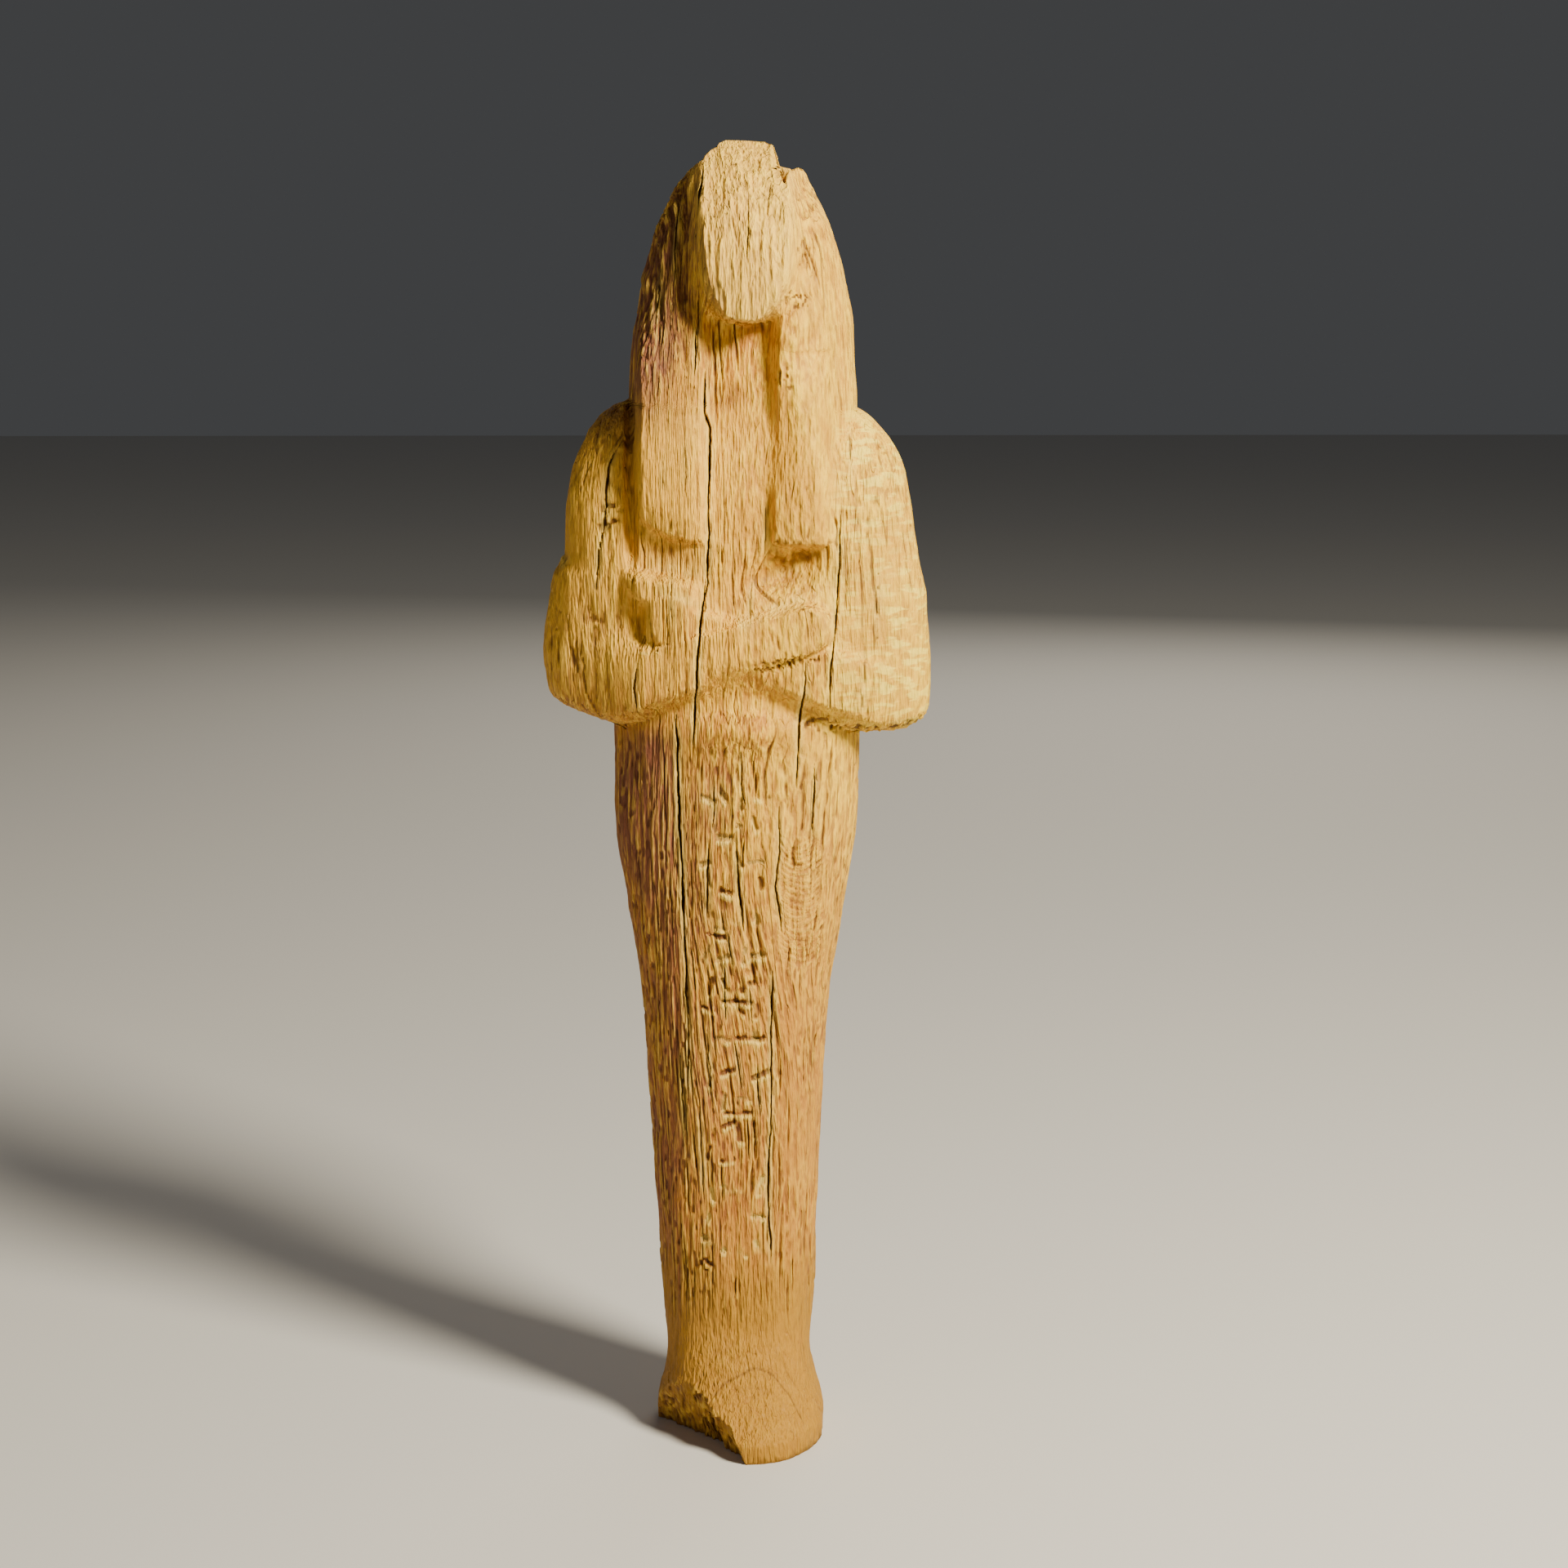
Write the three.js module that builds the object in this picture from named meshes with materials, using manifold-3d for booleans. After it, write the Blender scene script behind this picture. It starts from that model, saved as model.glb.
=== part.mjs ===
// An ushabti: an ancient Egyptian funerary figurine carved from one block of wood.
// Millimetres. +Z is up, the front faces -Y, and the origin is on the flat underside.
import * as THREE from 'three';
import { mergeVertices } from 'three/addons/utils/BufferGeometryUtils.js';
import Module from 'manifold-3d';

// ---------------------------------------------------------------- driving dimensions

const HEIGHT = 215;               // underside to crown
const HEAD = HEIGHT / 7.5;        // crown to chin: a figure stands seven and a half heads
const CHIN = HEIGHT - HEAD;
const COLUMNS_FRONT = 44;         // mesh columns across the carved front
const COLUMNS_BACK = 16;          // and across the plainer back
const WIG_EDGE = 17.6;            // the inner columns stand within this breadth
const INNER_SHARE = 0.68;         // and are this share of them

// Rows of the mesh from the underside up: [top of the band, rows in it]. The rows lie close
// where the carving is fine: at the foot, the elbows, the crossed arms, the wig and the crown.
const ROW_BANDS = [
  [3.6, 1], [8, 2], [20, 5], [112, 10], [120, 2], [121.6, 2], [126, 5],
  [149, 14], [154, 5], [168, 4], [177, 6], [187, 7], [205, 5], [210, 3], [215, 5],
];

// Half-breadths of the three masses of the figure, as stacks of sections:
// [height, left, right, front, back]. The torso hides the top of the legs, and the wig
// lies over the shoulders.
const LEGS = [
  [0, 13.9, 14.3, 22.9, 11.8],
  [4, 14.0, 14.4, 22.4, 12.0],
  [8, 13.1, 13.2, 18.7, 11.5],
  [13, 12.5, 12.2, 14.9, 11.0],
  [20, 12.9, 12.5, 11.9, 10.9],
  [35, 13.7, 13.1, 11.6, 11.5],
  [50, 14.6, 13.6, 12.5, 12.5],
  [62, 15.2, 14.2, 13.2, 12.6],
  [77, 16.4, 15.3, 13.6, 12.7],
  [91, 18.6, 17.8, 14.0, 14.0],
  [105, 20.2, 19.6, 14.4, 15.5],
  [118, 20.5, 20.1, 14.4, 14.6],
  [130, 20.6, 20.4, 14.4, 14.2],
];
const TORSO = [
  [121.6, 25.5, 26.0, 6.0, 6.5],
  [122.5, 29.2, 29.4, 10.5, 10.5],
  [124, 30.9, 31.0, 13.4, 13.4],
  [127, 31.8, 31.7, 14.6, 14.8],
  [133, 32.1, 31.6, 15.0, 15.4],
  [141, 31.0, 31.2, 15.1, 15.8],
  [145.8, 30.1, 30.4, 15.0, 15.9],
  [148, 28.9, 29.9, 15.0, 15.9],
  [156, 28.4, 28.5, 14.4, 15.6],
  [162, 27.0, 27.4, 13.4, 14.6],
  [166.5, 25.3, 25.5, 11.9, 13.0],
  [170.5, 22.9, 22.4, 9.4, 10.4],
  [173, 20.0, 18.6, 6.4, 7.2],
  [176, 9.0, 9.0, 2.0, 2.5],
];
const WIG = [
  [150, 15.0, 15.2, 14.4, 17.0],
  [160, 16.4, 17.4, 14.8, 17.4],
  [172, 17.6, 19.4, 14.4, 17.8],
  [180, 17.1, 19.1, 13.6, 17.9],
  [187, 16.3, 18.7, 13.1, 17.4],
  [195, 14.8, 17.3, 12.3, 16.3],
  [200, 13.4, 15.7, 11.4, 15.0],
  [205, 11.3, 13.7, 9.8, 12.8],
  [209, 9.1, 11.8, 7.8, 10.0],
  [210.3, 7.9, 10.3, 7.2, 9.0],
  [210.9, 7.3, 7.0, 7.0, 8.6],
  [213, 5.2, 6.4, 5.6, 6.4],
  [214.4, 3.4, 5.7, 4.2, 4.4],
  [215, 2.2, 4.4, 3.0, 3.0],
];
const ROUNDNESS = { legs: 2.35, torso: 2.7, wig: 2.5 };   // superellipse powers

// Depth of the side line, where the front half meets the back half: [height, y].
const SIDE_LINE = [[0, -4], [6, -3], [16, 0], [170, 0], [190, 1.5], [215, 1]];

// Lower edge of the crossed arms and the elbows: [x, height]. The left elbow ends higher.
const ARMS_LEVEL = 122;
const ARMS_EDGE = [[-32, 125.4], [-26, 124], [-19, 122], [-6, 124.6], [3, 124.8],
  [13, 122.2], [24, 120.6], [32, 122]];

// Face: a flat split plane, featureless, on a plain even oval. A head is two thirds as broad
// as it is high, the wig covers the outer quarter of it, and the eye line halves it.
const FACE = { middle: 1.2, half: HEAD / 4, widest: CHIN + HEAD / 2, soft: 3 };
const FACE_PLANE = [[CHIN, 17.6], [CHIN + 0.2 * HEAD, 17.8], [CHIN + 0.4 * HEAD, 16.9],
  [CHIN + 0.6 * HEAD, 14.8], [CHIN + 0.8 * HEAD, 11], [HEIGHT, 4.5]];
const NECK = [[160, 14.2], [172, 13.3], [178, 12.2], [CHIN, 10.6]];

// Lappets: the two front ends of the wig, from under the cheeks to the chest.
const LAPPET_FACE = [[150, 16.9], [165, 16.7], [178, 15.2], [190, 12.5]];
const LAPPETS = [
  { outer: -15.6, inner: -4.8, outer_soft: 1.2, inner_soft: 2.6, foot: 152.4, slant: -0.26 },
  { outer: 14.2, inner: 5.6, outer_soft: 5.0, inner_soft: 1.3, foot: 151.3, slant: 0 },
];
const LAPPET_GROOVE = { x: -16.8, half: 1.5, low: 148.5, high: 177, depth: 2.3 };

// Forearms and fists, each along a line on the chest: from [x, z] to [x, z].
const FOREARMS = [
  { from: [27, 125.6], to: [-8, 137.6], half: [5.6, 4.6], rise: 1.7 },    // passes beneath
  { from: [-26, 127.2], to: [10.8, 138], half: [6.2, 4.6], rise: 3.1 },   // lies on top
];
const FIST = { middle: [-11, 141], half: [4.2, 5.8], rise: 3.2 };
const FIST_HOLLOW = { from: [-17.2, 146.2], to: [-15.4, 135.4], half: 1.9, depth: 2.4 };

// Broken foot: plan of the lost front left corner, walked along the break from back to toe.
// The break undercuts the instep, so what is lost grows forward with height.
const FOOT_BREAK = [[-15.5, -1.2], [-13.3, -2.2], [-11.4, -3.8], [-7.8, -8.0], [-5.6, -10.0],
  [-2.9, -13.3], [-1.6, -16.6], [0.1, -18.8], [0.9, -22.2], [1.6, -26]];
const FOOT_BREAK_TOP = 18;
const FOOT_BREAK_LEAN = [-0.29, -0.23];

// Notch in the split crown: where it bottoms out and how it opens.
const NOTCH = { x: 6.9, bottom: 207.4, top: 216, half_top: 1.1, lean: -0.5 };

// Drying splits along the grain, opened in a V: the points are [x, height].
const SPLITS = [
  { width: 0.9, depth: 3.2, line: [[-9.8, 125], [-9.5, 112], [-9.3, 100], [-8.8, 88], [-8.3, 74]] },
  { width: 0.6, depth: 2.4, line: [[-4.9, 179], [-4.4, 168], [-4.6, 150], [-5.6, 141], [-7, 134.5],
    [-7.2, 120]] },
];

// ---------------------------------------------------------------- small mathematics

const clamp = (t) => Math.min(1, Math.max(0, t));

function ramp(from, to, t) {
  const u = clamp((t - from) / (to - from));
  return u * u * (3 - 2 * u);
}

const band = (from, to, soft, t) => ramp(from - soft / 2, from + soft / 2, t)
  * (1 - ramp(to - soft / 2, to + soft / 2, t));

// Height of a superellipse arch of half-breadth 1 above its chord.
const arch = (t, power) => Math.pow(1 - Math.pow(clamp(Math.abs(t)), power), 1 / power);

// Smooth curve through stations [t, a, b, ...] that never overshoots between them.
function through(stations, t, k = 1) {
  const last = stations.length - 1;
  if (t <= stations[0][0]) return stations[0][k];
  if (t >= stations[last][0]) return stations[last][k];
  const i = stations.findIndex((s) => s[0] > t) - 1;
  const chord = (j) => (stations[j + 1][k] - stations[j][k]) / (stations[j + 1][0] - stations[j][0]);
  const tangent = (j) => {
    if (j === 0 || j === last) return chord(Math.min(j, last - 1));
    const [before, after] = [chord(j - 1), chord(j)];
    return before * after <= 0 ? 0 : (2 * before * after) / (before + after);
  };
  const step = stations[i + 1][0] - stations[i][0];
  const u = (t - stations[i][0]) / step;
  const [a, b] = [stations[i][k], stations[i + 1][k]];
  const [v, w] = [tangent(i) * step, tangent(i + 1) * step];
  return a + u * (v + u * (3 * (b - a) - 2 * v - w + u * (v + w - 2 * (b - a))));
}

// Distance from a point to a line piece, and how far along it the nearest point is.
function nearLine([x, z], [ax, az], [bx, bz]) {
  const [dx, dz] = [bx - ax, bz - az];
  const along = clamp(((x - ax) * dx + (z - az) * dz) / (dx * dx + dz * dz));
  return [Math.hypot(x - ax - along * dx, z - az - along * dz), along];
}

// ---------------------------------------------------------------- masses of the figure

const MASSES = [
  { stations: LEGS, power: ROUNDNESS.legs, from: 0, to: 130 },
  { stations: TORSO, power: ROUNDNESS.torso, from: TORSO[0][0], to: 176 },
  { stations: WIG, power: ROUNDNESS.wig, from: WIG[0][0], to: HEIGHT },
];
const [LEFT, RIGHT, FRONT, BACK] = [1, 2, 3, 4];

const massesAt = (level) => MASSES.filter((m) => level >= m.from && level <= m.to);

const outline = (level, side) => Math.max(
  ...massesAt(level).map((m) => through(m.stations, level, side)));

// How far the plain masses stand forward (or back) of the figure's axis at one point.
function massDepth(x, level, face) {
  const side = through(SIDE_LINE, level) * (face === FRONT ? -1 : 1);
  const depths = massesAt(level).map((m) => {
    const half = through(m.stations, level, x < 0 ? LEFT : RIGHT);
    return side + (through(m.stations, level, face) - side) * arch(x / half, m.power);
  });
  return depths.reduce((a, b) => (a === undefined ? b : Math.max(a, b)));
}

// ---------------------------------------------------------------- carving of the front

function carveFace(x, z, depth) {
  const below = clamp((FACE.widest - z) / (FACE.widest - CHIN));
  const half = FACE.half * arch(below, 2.2);
  const edge = Math.abs(x - FACE.middle);
  const across = 1 - ramp(half - 0.8, half - 0.2 + FACE.soft, edge);
  const inside = across * ramp(CHIN - 0.5, CHIN + 0.7, z);
  const plane = through(FACE_PLANE, z) - 0.35 * Math.pow(edge / FACE.half, 2);
  return depth + Math.max(0, plane - depth) * inside;
}

function carveNeck(x, z, depth) {
  const hollow = band(-4.6, 5.8, 2.2, x) * (1 - ramp(CHIN - 0.2, CHIN + 1.2, z)) * ramp(158, 172, z);
  return depth + (Math.min(depth, through(NECK, z)) - depth) * hollow;
}

function carveWigFront(x, z, depth) {
  const beside = FACE.middle - FACE.half;
  const recess = band(beside - 3.2, beside, 1.8, x) * band(CHIN, 209, 7, z);
  const swell = band(8, 15, 5, x) * band(182, 206, 12, z);
  return depth - 1.3 * recess + 1.7 * swell;
}

function carveLappets(x, z, depth) {
  let result = depth;
  for (const l of LAPPETS) {
    const [low, high] = [Math.min(l.outer, l.inner), Math.max(l.outer, l.inner)];
    const [soft_low, soft_high] = l.outer < 0 ? [l.outer_soft, l.inner_soft] : [l.inner_soft, l.outer_soft];
    const across = ramp(low - soft_low / 2, low + soft_low / 2, x)
      * (1 - ramp(high - soft_high / 2, high + soft_high / 2, x));
    const middle = (low + high) / 2;
    const foot = l.foot + l.slant * (x - middle);
    const corner = 0.9 * Math.pow(Math.abs(x - middle) / ((high - low) / 2), 4);
    const down = ramp(foot + corner - 0.5, foot + corner + 0.9, z) * (1 - ramp(180, 192, z));
    const plane = through(LAPPET_FACE, z) - 0.8 * Math.pow((x - middle) / ((high - low) / 2), 2);
    result += Math.max(0, plane - result) * across * down;
  }
  const g = LAPPET_GROOVE;
  const groove = (1 - ramp(0.3, 1, Math.abs(x - g.x) / g.half)) * band(g.low, g.high, 3, z);
  return result - g.depth * groove;
}

function carveArms(x, z, depth) {
  const rises = FOREARMS.map((arm) => {
    const [away, along] = nearLine([x, z], arm.from, arm.to);
    const half = arm.half[0] + (arm.half[1] - arm.half[0]) * along;
    return arm.rise * ramp(0, 0.35, along) * (1 - ramp(0.6, 1.1, away / half));
  });
  const across = (x - FIST.middle[0]) / FIST.half[0];
  const up = (z - FIST.middle[1]) / FIST.half[1];
  rises.push(FIST.rise * (1 - ramp(0.7, 1.15, Math.pow(across ** 4 + up ** 4, 0.25))));
  const [away, along] = nearLine([x, z], FIST_HOLLOW.from, FIST_HOLLOW.to);
  const hollow = FIST_HOLLOW.depth * (0.6 + 0.4 * along) * (1 - ramp(0.35, 1, away / FIST_HOLLOW.half));
  return depth + Math.max(...rises) - hollow;
}

function frontDepth(x, level, z) {
  let depth = massDepth(x, level, FRONT);
  if (z > 182) depth = carveWigFront(x, z, depth);
  if (z > 148) depth = carveLappets(x, z, depth);
  if (z > 158) depth = carveNeck(x, z, depth);
  if (z > CHIN - 1) depth = carveFace(x, z, depth);
  if (level > ARMS_LEVEL && z < 149) depth = carveArms(x, z, depth);
  return depth;
}

// ---------------------------------------------------------------- mesh of the block

function rowLevels() {
  const levels = [0];
  for (const [top, rows] of ROW_BANDS) {
    const start = levels[levels.length - 1];
    for (let i = 1; i <= rows; i++) levels.push(start + ((top - start) * i) / rows);
  }
  return levels;
}

// Rows bend to follow the lower edge of the arms, and the right of the split crown.
function heightAt(x, level) {
  const near = Math.max(0, 1 - Math.pow((level - ARMS_LEVEL) / 12, 2));
  const peak = 0.9 * band(8.2, 11.6, 3, x) * band(208.6, 210.6, 1.6, level);
  return level + (through(ARMS_EDGE, x) - ARMS_LEVEL) * near * near + peak;
}

// Columns run straight up behind the wig's edge, and close up towards the side line.
function acrossAt(share, level) {
  const half = outline(level, share < 0 ? LEFT : RIGHT);
  const inner = Math.min(WIG_EDGE, 0.86 * half);
  const s = Math.abs(share);
  if (s <= INNER_SHARE) return Math.sign(share) * inner * (s / INNER_SHARE);
  const outer = (s - INNER_SHARE) / (1 - INNER_SHARE);
  return Math.sign(share) * (inner + (half - inner) * Math.sin((outer * Math.PI) / 2));
}

function ringAt(level) {
  const ring = [];
  for (let i = 0; i < COLUMNS_FRONT; i++) {
    const x = acrossAt((2 * i) / COLUMNS_FRONT - 1, level);
    const z = heightAt(x, level);
    ring.push([x, -frontDepth(x, level, z), z]);
  }
  for (let i = 0; i < COLUMNS_BACK; i++) {
    const x = acrossAt(1 - (2 * i) / COLUMNS_BACK, level);
    ring.push([x, massDepth(x, level, BACK), heightAt(x, level)]);
  }
  return ring;
}

function figureGeometry() {
  const rings = rowLevels().map(ringAt);
  const columns = COLUMNS_FRONT + COLUMNS_BACK;
  const crown = rings.length * columns;
  const points = rings.flat().concat([[1, 0.4, HEIGHT], [0, 0, 0]]);
  const faces = [];
  for (let j = 0; j < columns; j++) {
    const next = (j + 1) % columns;
    for (let i = 0; i + 1 < rings.length; i++) {
      const [a, b] = [i * columns + j, i * columns + next];
      faces.push(a, b, b + columns, a, b + columns, a + columns);
    }
    faces.push(crown, crown - columns + j, crown - columns + next);
    faces.push(crown + 1, next, j);
  }
  const geometry = new THREE.BufferGeometry();
  geometry.setAttribute('position', new THREE.Float32BufferAttribute(points.flat(), 3));
  geometry.setIndex(faces);
  return geometry;
}

// ---------------------------------------------------------------- breaks

// Straight-sided block over a plan outline, between two heights.
function planBlock(outlinePoints, low, high) {
  const shape = new THREE.Shape(outlinePoints.map(([x, y]) => new THREE.Vector2(x, y)));
  const geometry = new THREE.ExtrudeGeometry(shape, { depth: high - low, bevelEnabled: false });
  return geometry.translate(0, 0, low);
}

function lostFootCorner() {
  const far = 40;
  const block = planBlock([...FOOT_BREAK, [1.6, -far], [-far, -far], [-far, -1.2]], -1, FOOT_BREAK_TOP);
  const [lean_x, lean_y] = FOOT_BREAK_LEAN;
  const shear = new THREE.Matrix4().set(1, 0, lean_x, 0, 0, 1, lean_y, 0, 0, 0, 1, 0, 0, 0, 0, 1);
  return block.applyMatrix4(shear);
}

function crownNotch() {
  const { x, bottom, top, half_top: half, lean } = NOTCH;
  const shape = new THREE.Shape([[x, bottom], [x + lean + half, top], [x + lean - half, top]]
    .map(([u, v]) => new THREE.Vector2(u, v)));
  const geometry = new THREE.ExtrudeGeometry(shape, { depth: 40, bevelEnabled: false });
  return geometry.rotateX(Math.PI / 2).translate(0, 20, 0);
}

// Thin wedge along a split. Its edge runs inside the wood and its back stands clear of it.
function splitWedge({ line, width, depth }) {
  const clear = 1.5;
  const points = line.flatMap(([x, z], i) => {
    const open = i === 0 || i === line.length - 1 ? 0.12 : 1;
    const surface = frontDepth(x, z, z);
    const half = (open * width * (depth + clear)) / depth / 2;
    return [[x - half, -surface - clear, z], [x + half, -surface - clear, z], [x, depth * open - surface, z]];
  });
  const down = line[0][1] > line[1][1];
  const faces = [];
  for (let i = 0; i + 1 < line.length; i++) {
    for (let j = 0; j < 3; j++) {
      const [a, b] = [3 * i + j, 3 * i + ((j + 1) % 3)];
      faces.push(...(down ? [a, a + 3, b + 3, a, b + 3, b] : [a, b + 3, a + 3, a, b, b + 3]));
    }
  }
  const end = 3 * (line.length - 1);
  faces.push(...(down ? [0, 1, 2, end, end + 2, end + 1] : [0, 2, 1, end, end + 1, end + 2]));
  const geometry = new THREE.BufferGeometry();
  geometry.setAttribute('position', new THREE.Float32BufferAttribute(points.flat(), 3));
  geometry.setIndex(faces);
  return geometry;
}

// ---------------------------------------------------------------- solids

const wasm = await Module();
wasm.setup();

function solid(geometry) {
  const bare = geometry.clone();
  bare.deleteAttribute('normal');
  bare.deleteAttribute('uv');
  const merged = mergeVertices(bare, 1e-4);
  return new wasm.Manifold(new wasm.Mesh({
    numProp: 3,
    vertProperties: new Float32Array(merged.attributes.position.array),
    triVerts: new Uint32Array(merged.index.array),
  }));
}

function meshGeometry(body) {
  const { vertProperties, triVerts } = body.getMesh();
  const geometry = new THREE.BufferGeometry();
  geometry.setAttribute('position', new THREE.BufferAttribute(vertProperties, 3));
  geometry.setIndex(new THREE.BufferAttribute(triVerts, 1));
  geometry.computeVertexNormals();
  return geometry;
}

const wood = new THREE.MeshStandardMaterial({ color: 0xb9854a, roughness: 0.72, metalness: 0 });

const losses = [lostFootCorner(), crownNotch(), ...SPLITS.map(splitWedge)];
const body = losses.reduce((rest, loss) => rest.subtract(solid(loss)), solid(figureGeometry()));
const figure = new THREE.Mesh(meshGeometry(body), wood);
figure.name = 'ushabti_figure';

const ushabti = new THREE.Group();
ushabti.name = 'ushabti';
ushabti.add(figure);

export default ushabti;
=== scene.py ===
"""A wooden ushabti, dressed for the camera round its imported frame.

The figure is one carved block. A fine flat sheet is wrapped into its grid of levels and columns,
and the carving, the breaks, the splits, the worn strokes and the grain are cut into that grid
in turn. Lengths in this file are in millimetres until the mesh is placed, in metres.
"""
import math
from types import SimpleNamespace

import bpy
import numpy as np
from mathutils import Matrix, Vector


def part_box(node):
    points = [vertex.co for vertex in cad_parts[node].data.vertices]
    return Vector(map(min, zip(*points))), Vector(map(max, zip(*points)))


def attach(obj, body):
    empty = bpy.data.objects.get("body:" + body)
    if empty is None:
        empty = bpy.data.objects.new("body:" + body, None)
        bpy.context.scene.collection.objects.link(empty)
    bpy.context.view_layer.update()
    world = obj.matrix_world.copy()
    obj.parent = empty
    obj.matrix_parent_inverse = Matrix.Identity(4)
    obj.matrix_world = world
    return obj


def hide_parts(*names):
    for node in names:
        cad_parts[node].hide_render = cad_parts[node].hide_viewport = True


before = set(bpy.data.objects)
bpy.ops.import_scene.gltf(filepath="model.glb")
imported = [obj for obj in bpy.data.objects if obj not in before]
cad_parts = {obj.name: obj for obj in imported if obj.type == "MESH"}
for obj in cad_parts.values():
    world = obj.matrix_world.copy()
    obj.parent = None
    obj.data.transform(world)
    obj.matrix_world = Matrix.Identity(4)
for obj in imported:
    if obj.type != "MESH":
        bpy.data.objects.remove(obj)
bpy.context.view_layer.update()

NODE = "ushabti_figure"
MM = 0.001

# ------------------------------------------------------------------ driving sizes

lowest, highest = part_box(NODE)
HEIGHT = (highest.z - lowest.z) / MM
HEAD = HEIGHT / 7.5
CHIN = HEIGHT - HEAD

COLUMNS_FRONT = 450
COLUMNS_BACK = 150
WIG_EDGE = 17.6
INNER_SHARE = 0.70
FINAL_TRIANGLES = 196000

# Rows of the blank: [top of the band, spacing of its rows].
ROW_BANDS = [
    (3.6, 0.3), (20, 0.28), (112, 0.30), (120, 0.32), (128, 0.22), (150, 0.26),
    (156, 0.24), (178, 0.36), (208, 0.32), (HEIGHT, 0.22),
]
UNDERSIDE_RINGS = 10
CROWN_RINGS = 6

# Sections of the three masses: height, left, right, front, back.
LEGS = np.array([
    [0, 13.9, 14.3, 22.7, 11.8],
    [3.0, 14.0, 14.4, 22.9, 12.0],
    [3.9, 14.0, 14.3, 22.1, 12.0],
    [8, 13.1, 13.2, 18.6, 11.5],
    [13, 12.5, 12.2, 14.9, 11.0],
    [20, 12.9, 12.5, 11.9, 10.9],
    [35, 13.7, 13.1, 11.6, 11.5],
    [50, 14.6, 13.6, 12.5, 12.5],
    [62, 15.2, 14.2, 13.2, 12.6],
    [77, 16.4, 15.3, 13.6, 12.7],
    [91, 18.6, 17.8, 14.0, 14.0],
    [105, 20.2, 19.6, 14.4, 15.5],
    [118, 20.5, 20.1, 14.4, 14.6],
    [130, 20.6, 20.4, 14.4, 14.2],
])
TORSO = np.array([
    [121.2, 20.2, 20.0, 0.5, 0.5],
    [121.4, 26.5, 27.0, 6.5, 7.0],
    [121.8, 29.0, 29.8, 10.0, 10.2],
    [122.6, 30.5, 31.0, 12.6, 12.6],
    [124, 31.3, 31.5, 14.0, 14.0],
    [127, 31.8, 31.7, 14.6, 14.8],
    [133, 32.1, 31.6, 15.0, 15.4],
    [141, 31.0, 31.2, 15.1, 15.8],
    [145.8, 30.1, 30.4, 15.0, 15.9],
    [148, 28.9, 29.9, 15.0, 15.9],
    [156, 28.4, 28.5, 14.4, 15.6],
    [162, 27.0, 27.4, 13.4, 14.6],
    [166.5, 25.3, 25.5, 11.9, 13.0],
    [170.5, 22.9, 22.4, 9.4, 10.4],
    [173, 20.0, 18.6, 6.4, 7.2],
    [176, 9.0, 9.0, 2.0, 2.5],
])
WIG = np.array([
    [150, 15.0, 15.2, 14.4, 17.0],
    [160, 16.4, 17.4, 14.8, 17.4],
    [172, 17.6, 19.4, 14.4, 17.8],
    [180, 17.1, 19.1, 13.6, 17.9],
    [187, 16.3, 18.7, 13.1, 17.4],
    [195, 14.8, 17.3, 12.3, 16.3],
    [200, 13.4, 15.7, 11.4, 15.0],
    [205, 11.2, 13.7, 9.8, 12.8],
    [207.2, 10.2, 12.6, 8.7, 11.4],
    [208.7, 9.2, 11.7, 7.9, 10.2],
    [209.9, 8.1, 11.3, 7.3, 9.3],
    [210.4, 7.7, 10.7, 7.1, 9.0],
    [210.7, 7.3, 7.6, 6.9, 8.7],
    [212, 5.9, 6.7, 6.2, 7.4],
    [213.2, 4.7, 6.3, 5.4, 6.2],
    [214.2, 3.4, 5.8, 4.3, 4.5],
    [HEIGHT, 1.8, 4.0, 3.0, 3.0],
])
LEFT, RIGHT, FRONT, BACK = 1, 2, 3, 4
MASSES = [(LEGS, 2.35, 0.0, 130.0), (TORSO, 2.7, 121.2, 176.0), (WIG, 2.5, 150.0, HEIGHT)]
SIDE_LINE = np.array([[0, -2.4], [6, -2.4], [16, 0], [170, 0], [190, 1.5], [HEIGHT, 1]])

ARMS_LEVEL = 122
ARMS_EDGE = np.array([[-32, 125.4], [-26, 124], [-19, 122], [-6, 124.6], [3, 124.8],
                      [13, 122.2], [24, 120.6], [32, 122]])

# Face: a flat split plane, featureless, on a plain even oval. A figure stands seven and a half
# heads; a head is two thirds as broad as it is high, the wig covers the outer quarter of it,
# and the eye line halves it.
FACE_MIDDLE = 1.2
FACE_HALF = HEAD / 4
FACE_SIDE = FACE_MIDDLE - FACE_HALF
FACE_WIDEST = CHIN + HEAD / 2
FACE_ROUND = 2.2
FACE_SOFT = 3
FACE_PLANE = np.array([[CHIN, 17.6], [CHIN + 0.2 * HEAD, 17.8], [CHIN + 0.4 * HEAD, 16.9],
                       [CHIN + 0.6 * HEAD, 14.8], [CHIN + 0.8 * HEAD, 11], [HEIGHT, 4.5]])
NECK = np.array([[160, 14.2], [172, 13.3], [178, 12.2], [CHIN, 10.6]])
LAPPET_FACE = np.array([[150, 16.9], [165, 16.7], [178, 15.2], [190, 12.5]])

# Lappets, the two front ends of the wig: low side, high side, softness of each, foot, its slant.
LAPPETS = [(-15.9, -4.8, 2.0, 2.8, 152.2, -0.26), (5.5, 14.2, 1.1, 4.0, 151.3, 0)]


# ------------------------------------------------------------------ small mathematics

def ramp(low, high, t):
    u = np.clip((t - low) / (high - low), 0, 1)
    return u * u * (3 - 2 * u)


def band(low, high, soft, t):
    rise = ramp(low - soft / 2, low + soft / 2, t)
    return rise * (1 - ramp(high - soft / 2, high + soft / 2, t))


def arch(t, power):
    """Height of a superellipse arch of half-breadth 1 above its chord."""
    return (1 - np.clip(np.abs(t), 0, 1) ** power) ** (1 / power)


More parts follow.
